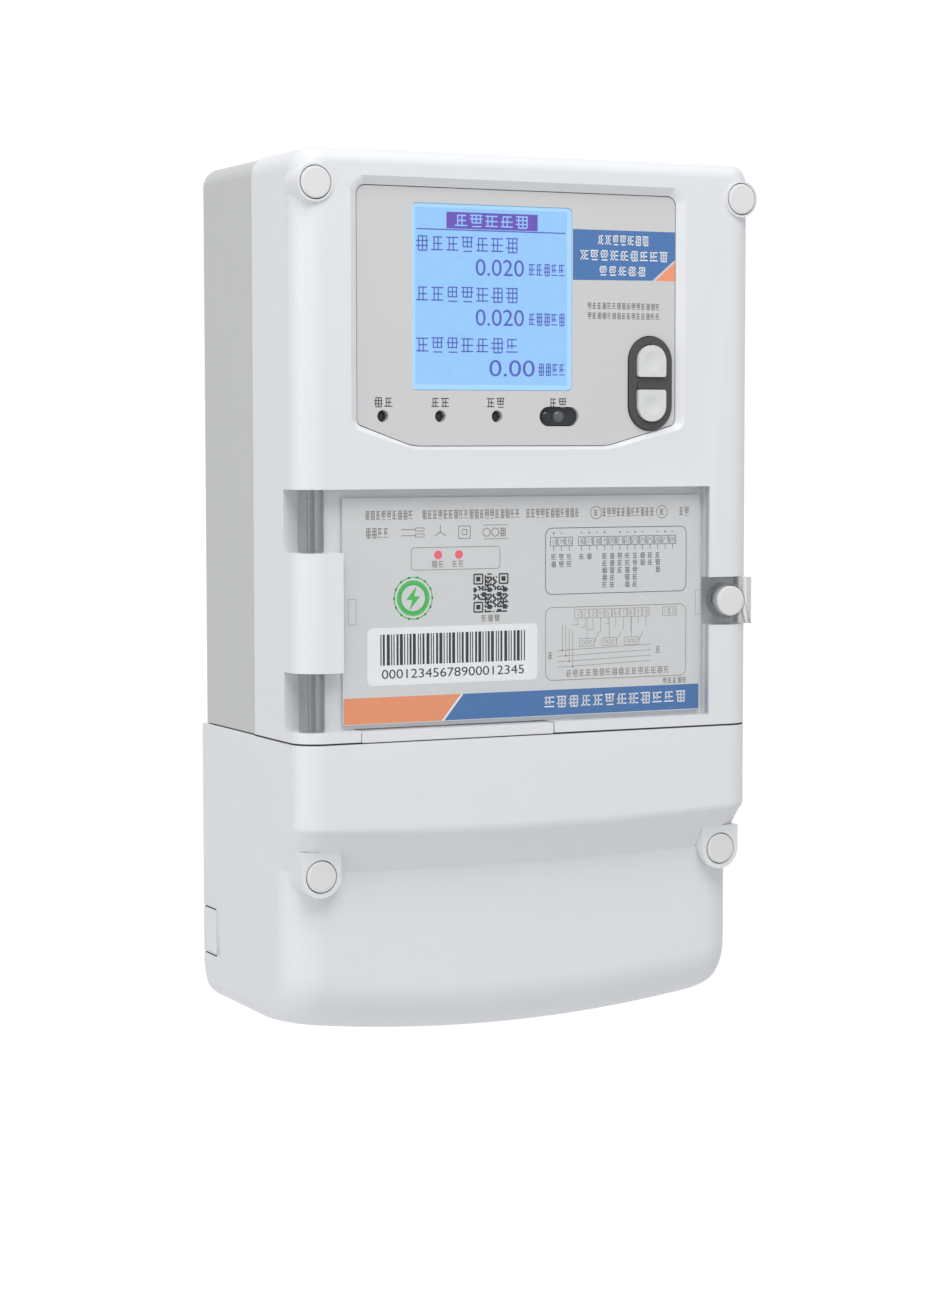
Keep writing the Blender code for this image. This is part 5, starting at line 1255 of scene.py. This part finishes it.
def print_diagrams(marks):
    """The terminal chart above and the wiring diagram below."""
    marks.frame(DARK_INK, 6.2, 60.6, 46.7, 69.0, 0.24, radius=2.4)
    marks.frame(GREY_INK, 6.2, 60.6, 17.6, 42.2, 0.24, radius=2.4)
    boxes = [8.0 + 2.95 * step for step in range(3)] + [18.6 + 2.95 * step for step in range(13)]
    words = (2, 2, 2, 1, 1, 0, 5, 5, 3, 5, 5, 2, 2, 3, 0, 0)
    for index, (left, count) in enumerate(zip(boxes, words)):
        marks.frame(DARK_INK, left, left + 2.5, 63.0, 65.9, 0.2)
        marks.digits(DARK_INK, 13 + index, left + 0.35, 63.6)
        marks.line(DARK_INK, (left + 1.25, 63.0), (left + 1.25, 61.2), 0.2)
        if index % 5 != 2:
            marks.bar(DARK_INK, left + 0.8, left + 1.7, 67.2, 67.4)
            if index % 2 == 0:
                marks.bar(DARK_INK, left + 1.15, left + 1.35, 66.85, 67.75)
        for row in range(count):
            top = 60.2 - 2.45 * row
            marks.greeked(DARK_INK, left + 0.3, left + 2.6, top - 1.9, top, 1, 0.2, index * 7 + row)
    tops = [17.2 + 2.93 * step for step in range(10)] + [51.4, 54.3]
    for index, left in enumerate(tops):
        marks.frame(GREY_INK, left, left + 2.5, 38.4, 41.3, 0.18)
        marks.digits(GREY_INK, 1 + index, left + (0.75 if index < 9 else 0.35), 39.0)
    for index in range(10):
        x, z = tops[index] + 1.25, 36.2 - 0.9 * (index % 4)
        marks.path(GREY_INK, [(x, 38.4), (x, z), (x - 2.2 + 0.3 * index, z)], 0.16)
    for row, z in enumerate((27.6, 25.7, 23.8, 22.0)):
        x = 12.6 + 1.3 * row
        marks.line(GREY_INK, (10.6, z), (46.8, z + 1.1), 0.18)
        marks.disc(GREY_INK, (x, z + 0.05), 0.32, sides=12)
        marks.line(GREY_INK, (x, z), (x, 36.6 - 0.7 * row), 0.16)
    for phase in range(3):
        x = 19.2 + 8.6 * phase
        marks.frame(GREY_INK, x, x + 5.6, 28.8, 31.4, 0.18)
        for turn in range(3):
            marks.ring(GREY_INK, (x + 1.4 + 1.4 * turn, 30.1), 0.62, 0.16, sides=14)
        marks.line(GREY_INK, (x + 2.8, 31.4), (x + 2.8, 38.4), 0.16)
        marks.line(GREY_INK, (x + 5.6, 30.0), (x + 7.4, 33.4), 0.18)
    marks.rows(
        GREY_INK,
        (7.0, 9.4, 24.8, 27.2, 1, 0.24, 3),
        (48.6, 51.0, 25.6, 28.0, 1, 0.24, 5),
        (14.0, 54.4, 18.6, 20.9, 16, 0.24, 21),
        (51.6, 61.2, 14.9, 16.9, 5, 0.24, 23),
    )


def print_plate():
    marks = Print(LABEL_FRONT)
    print_ratings(marks)
    print_seal(marks)
    print_codes(marks)
    print_diagrams(marks)
    for left, right in ((-66.1, -63.3), (64.3, 66.9)):
        marks.frame(GREY_INK, left, right, 38.5, 46.8, 0.16)
    left, right, low, high = -67.9, 65.7, 5.8, 14.4
    marks.polygon(BLUE_INK, [(-31.6, low), (right, low), (right, high), (-24.5, high)])
    marks.polygon(ORANGE_INK, [(left, low), (-32.5, low), (-25.4, high), (left, high)])
    marks.polygon(WHITE_INK, [(-32.5, low), (-31.6, low), (-24.5, high), (-25.4, high)])
    marks.greeked(WHITE_INK, 5.8, 61.4, 8.4, 12.2, 12, 0.42, 31, 1)
    marks.finish_to("plate_print", "label_silver")


# ---------------------------------------------------------------- inner nodes


INNER = {
    "cover_gasket": RUBBER_AND_PAINTED_SHADOW,
    "lcd_glass": SCREEN_EDGE,
    "lcd_backlight": BACKLIGHT,
    "lcd_frame": DARK,
    "display_board": BOARD,
    "main_board": BOARD,
    "board_link": DARK,
    "terminal_block": BLACK,
    "auxiliary_terminals": BLACK,
    "supply_transformer": CORE,
    "clock_battery": CAP_WHITE,
    "backup_capacitor": CORE,
    "hanger_plate": STEEL,
    "switch_up": DARK,
    "switch_down": DARK,
}


def dress_inner_nodes():
    for name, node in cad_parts.items():
        finish = INNER.get(name)
        if name.startswith(("display_screw", "board_screw", "hinge_pin")):
            finish = STEEL
        elif name.startswith("terminal_contact"):
            finish = BRASS
        elif name.startswith("current_bar"):
            finish = COPPER
        elif name.startswith("current_transformer"):
            finish = CORE
        if finish and not node.hide_render:
            node.data.materials.clear()
            node.data.materials.append(finish)


# ---------------------------------------------------------------- studio


# The lamps' places, in metres.
KEY = (-0.25, -0.80, 1.25)
FILL = (-1.4, -0.3, 0.1)


def make_studio():
    """White behind the meter, softer light from elsewhere, a key and a fill, the floor and the camera."""
    world = bpy.data.worlds.new("studio")
    bpy.context.scene.world = world
    world.use_nodes = True
    tree = world.node_tree
    sky = tree.nodes["Background"]
    direction = add(tree, "TexCoord")
    towards = add(tree, "VectorMath")
    towards.operation = "DOT_PRODUCT"
    towards.inputs[1].default_value = (0.435, 0.9, -0.03)
    shade = add(tree, "MapRange", From_Min=0.72, From_Max=0.92, To_Min=0.60, To_Max=1.05)
    shade.interpolation_type = "SMOOTHSTEP"
    tree.links.new(direction.outputs["Generated"], towards.inputs[0])
    tree.links.new(towards.outputs["Value"], shade.inputs["Value"])
    tree.links.new(shade.outputs["Result"], sky.inputs["Strength"])
    sky.inputs["Color"].default_value = (1.0, 1.0, 1.0, 1.0)
    aim = Vector((0, -0.05, 0.04))
    for name, spot, size, power in (("key", KEY, 1.1, 13.2), ("fill", FILL, 1.0, 3.6)):
        lamp = bpy.data.lights.new(name, "AREA")
        lamp.shape = "DISK"
        lamp.size = size
        lamp.energy = power
        obj = bpy.data.objects.new(name, lamp)
        obj.location = spot
        obj.rotation_euler = (aim - Vector(spot)).to_track_quat("-Z", "Y").to_euler()
        bpy.context.scene.collection.objects.link(obj)
    shape = bmesh.new()
    bmesh.ops.create_grid(shape, x_segments=8, y_segments=8, size=1.1)
    floor = place("floor", shape)
    floor.location = (0, 0, -0.75)
    floor.data.materials.append(ink("floor_paint", "f6f7f8", 0.8))
    camera = bpy.data.cameras.new("camera")
    camera.lens = 80.05
    camera.sensor_width = 36.0
    camera.clip_start = 0.01
    camera.clip_end = 50.0
    obj = bpy.data.objects.new("camera", camera)
    obj.location = (-0.4386, -0.9489, 0.0994)
    obj.rotation_euler = [math.radians(turn) for turn in (90 - 4.195, 0.07, -25.809)]
    bpy.context.scene.collection.objects.link(obj)
    bpy.context.scene.camera = obj
    bpy.context.scene.view_settings.view_transform = "Standard"


make_studio()
make_rear_shell()
make_front_shell()
make_terminal_cover()
make_caps()
make_fascia()
make_screen()
make_indicators()
make_buttons()
make_door()
make_name_plate()
make_seam_strip()
print_screen()
print_fascia()
print_plate()
dress_inner_nodes()
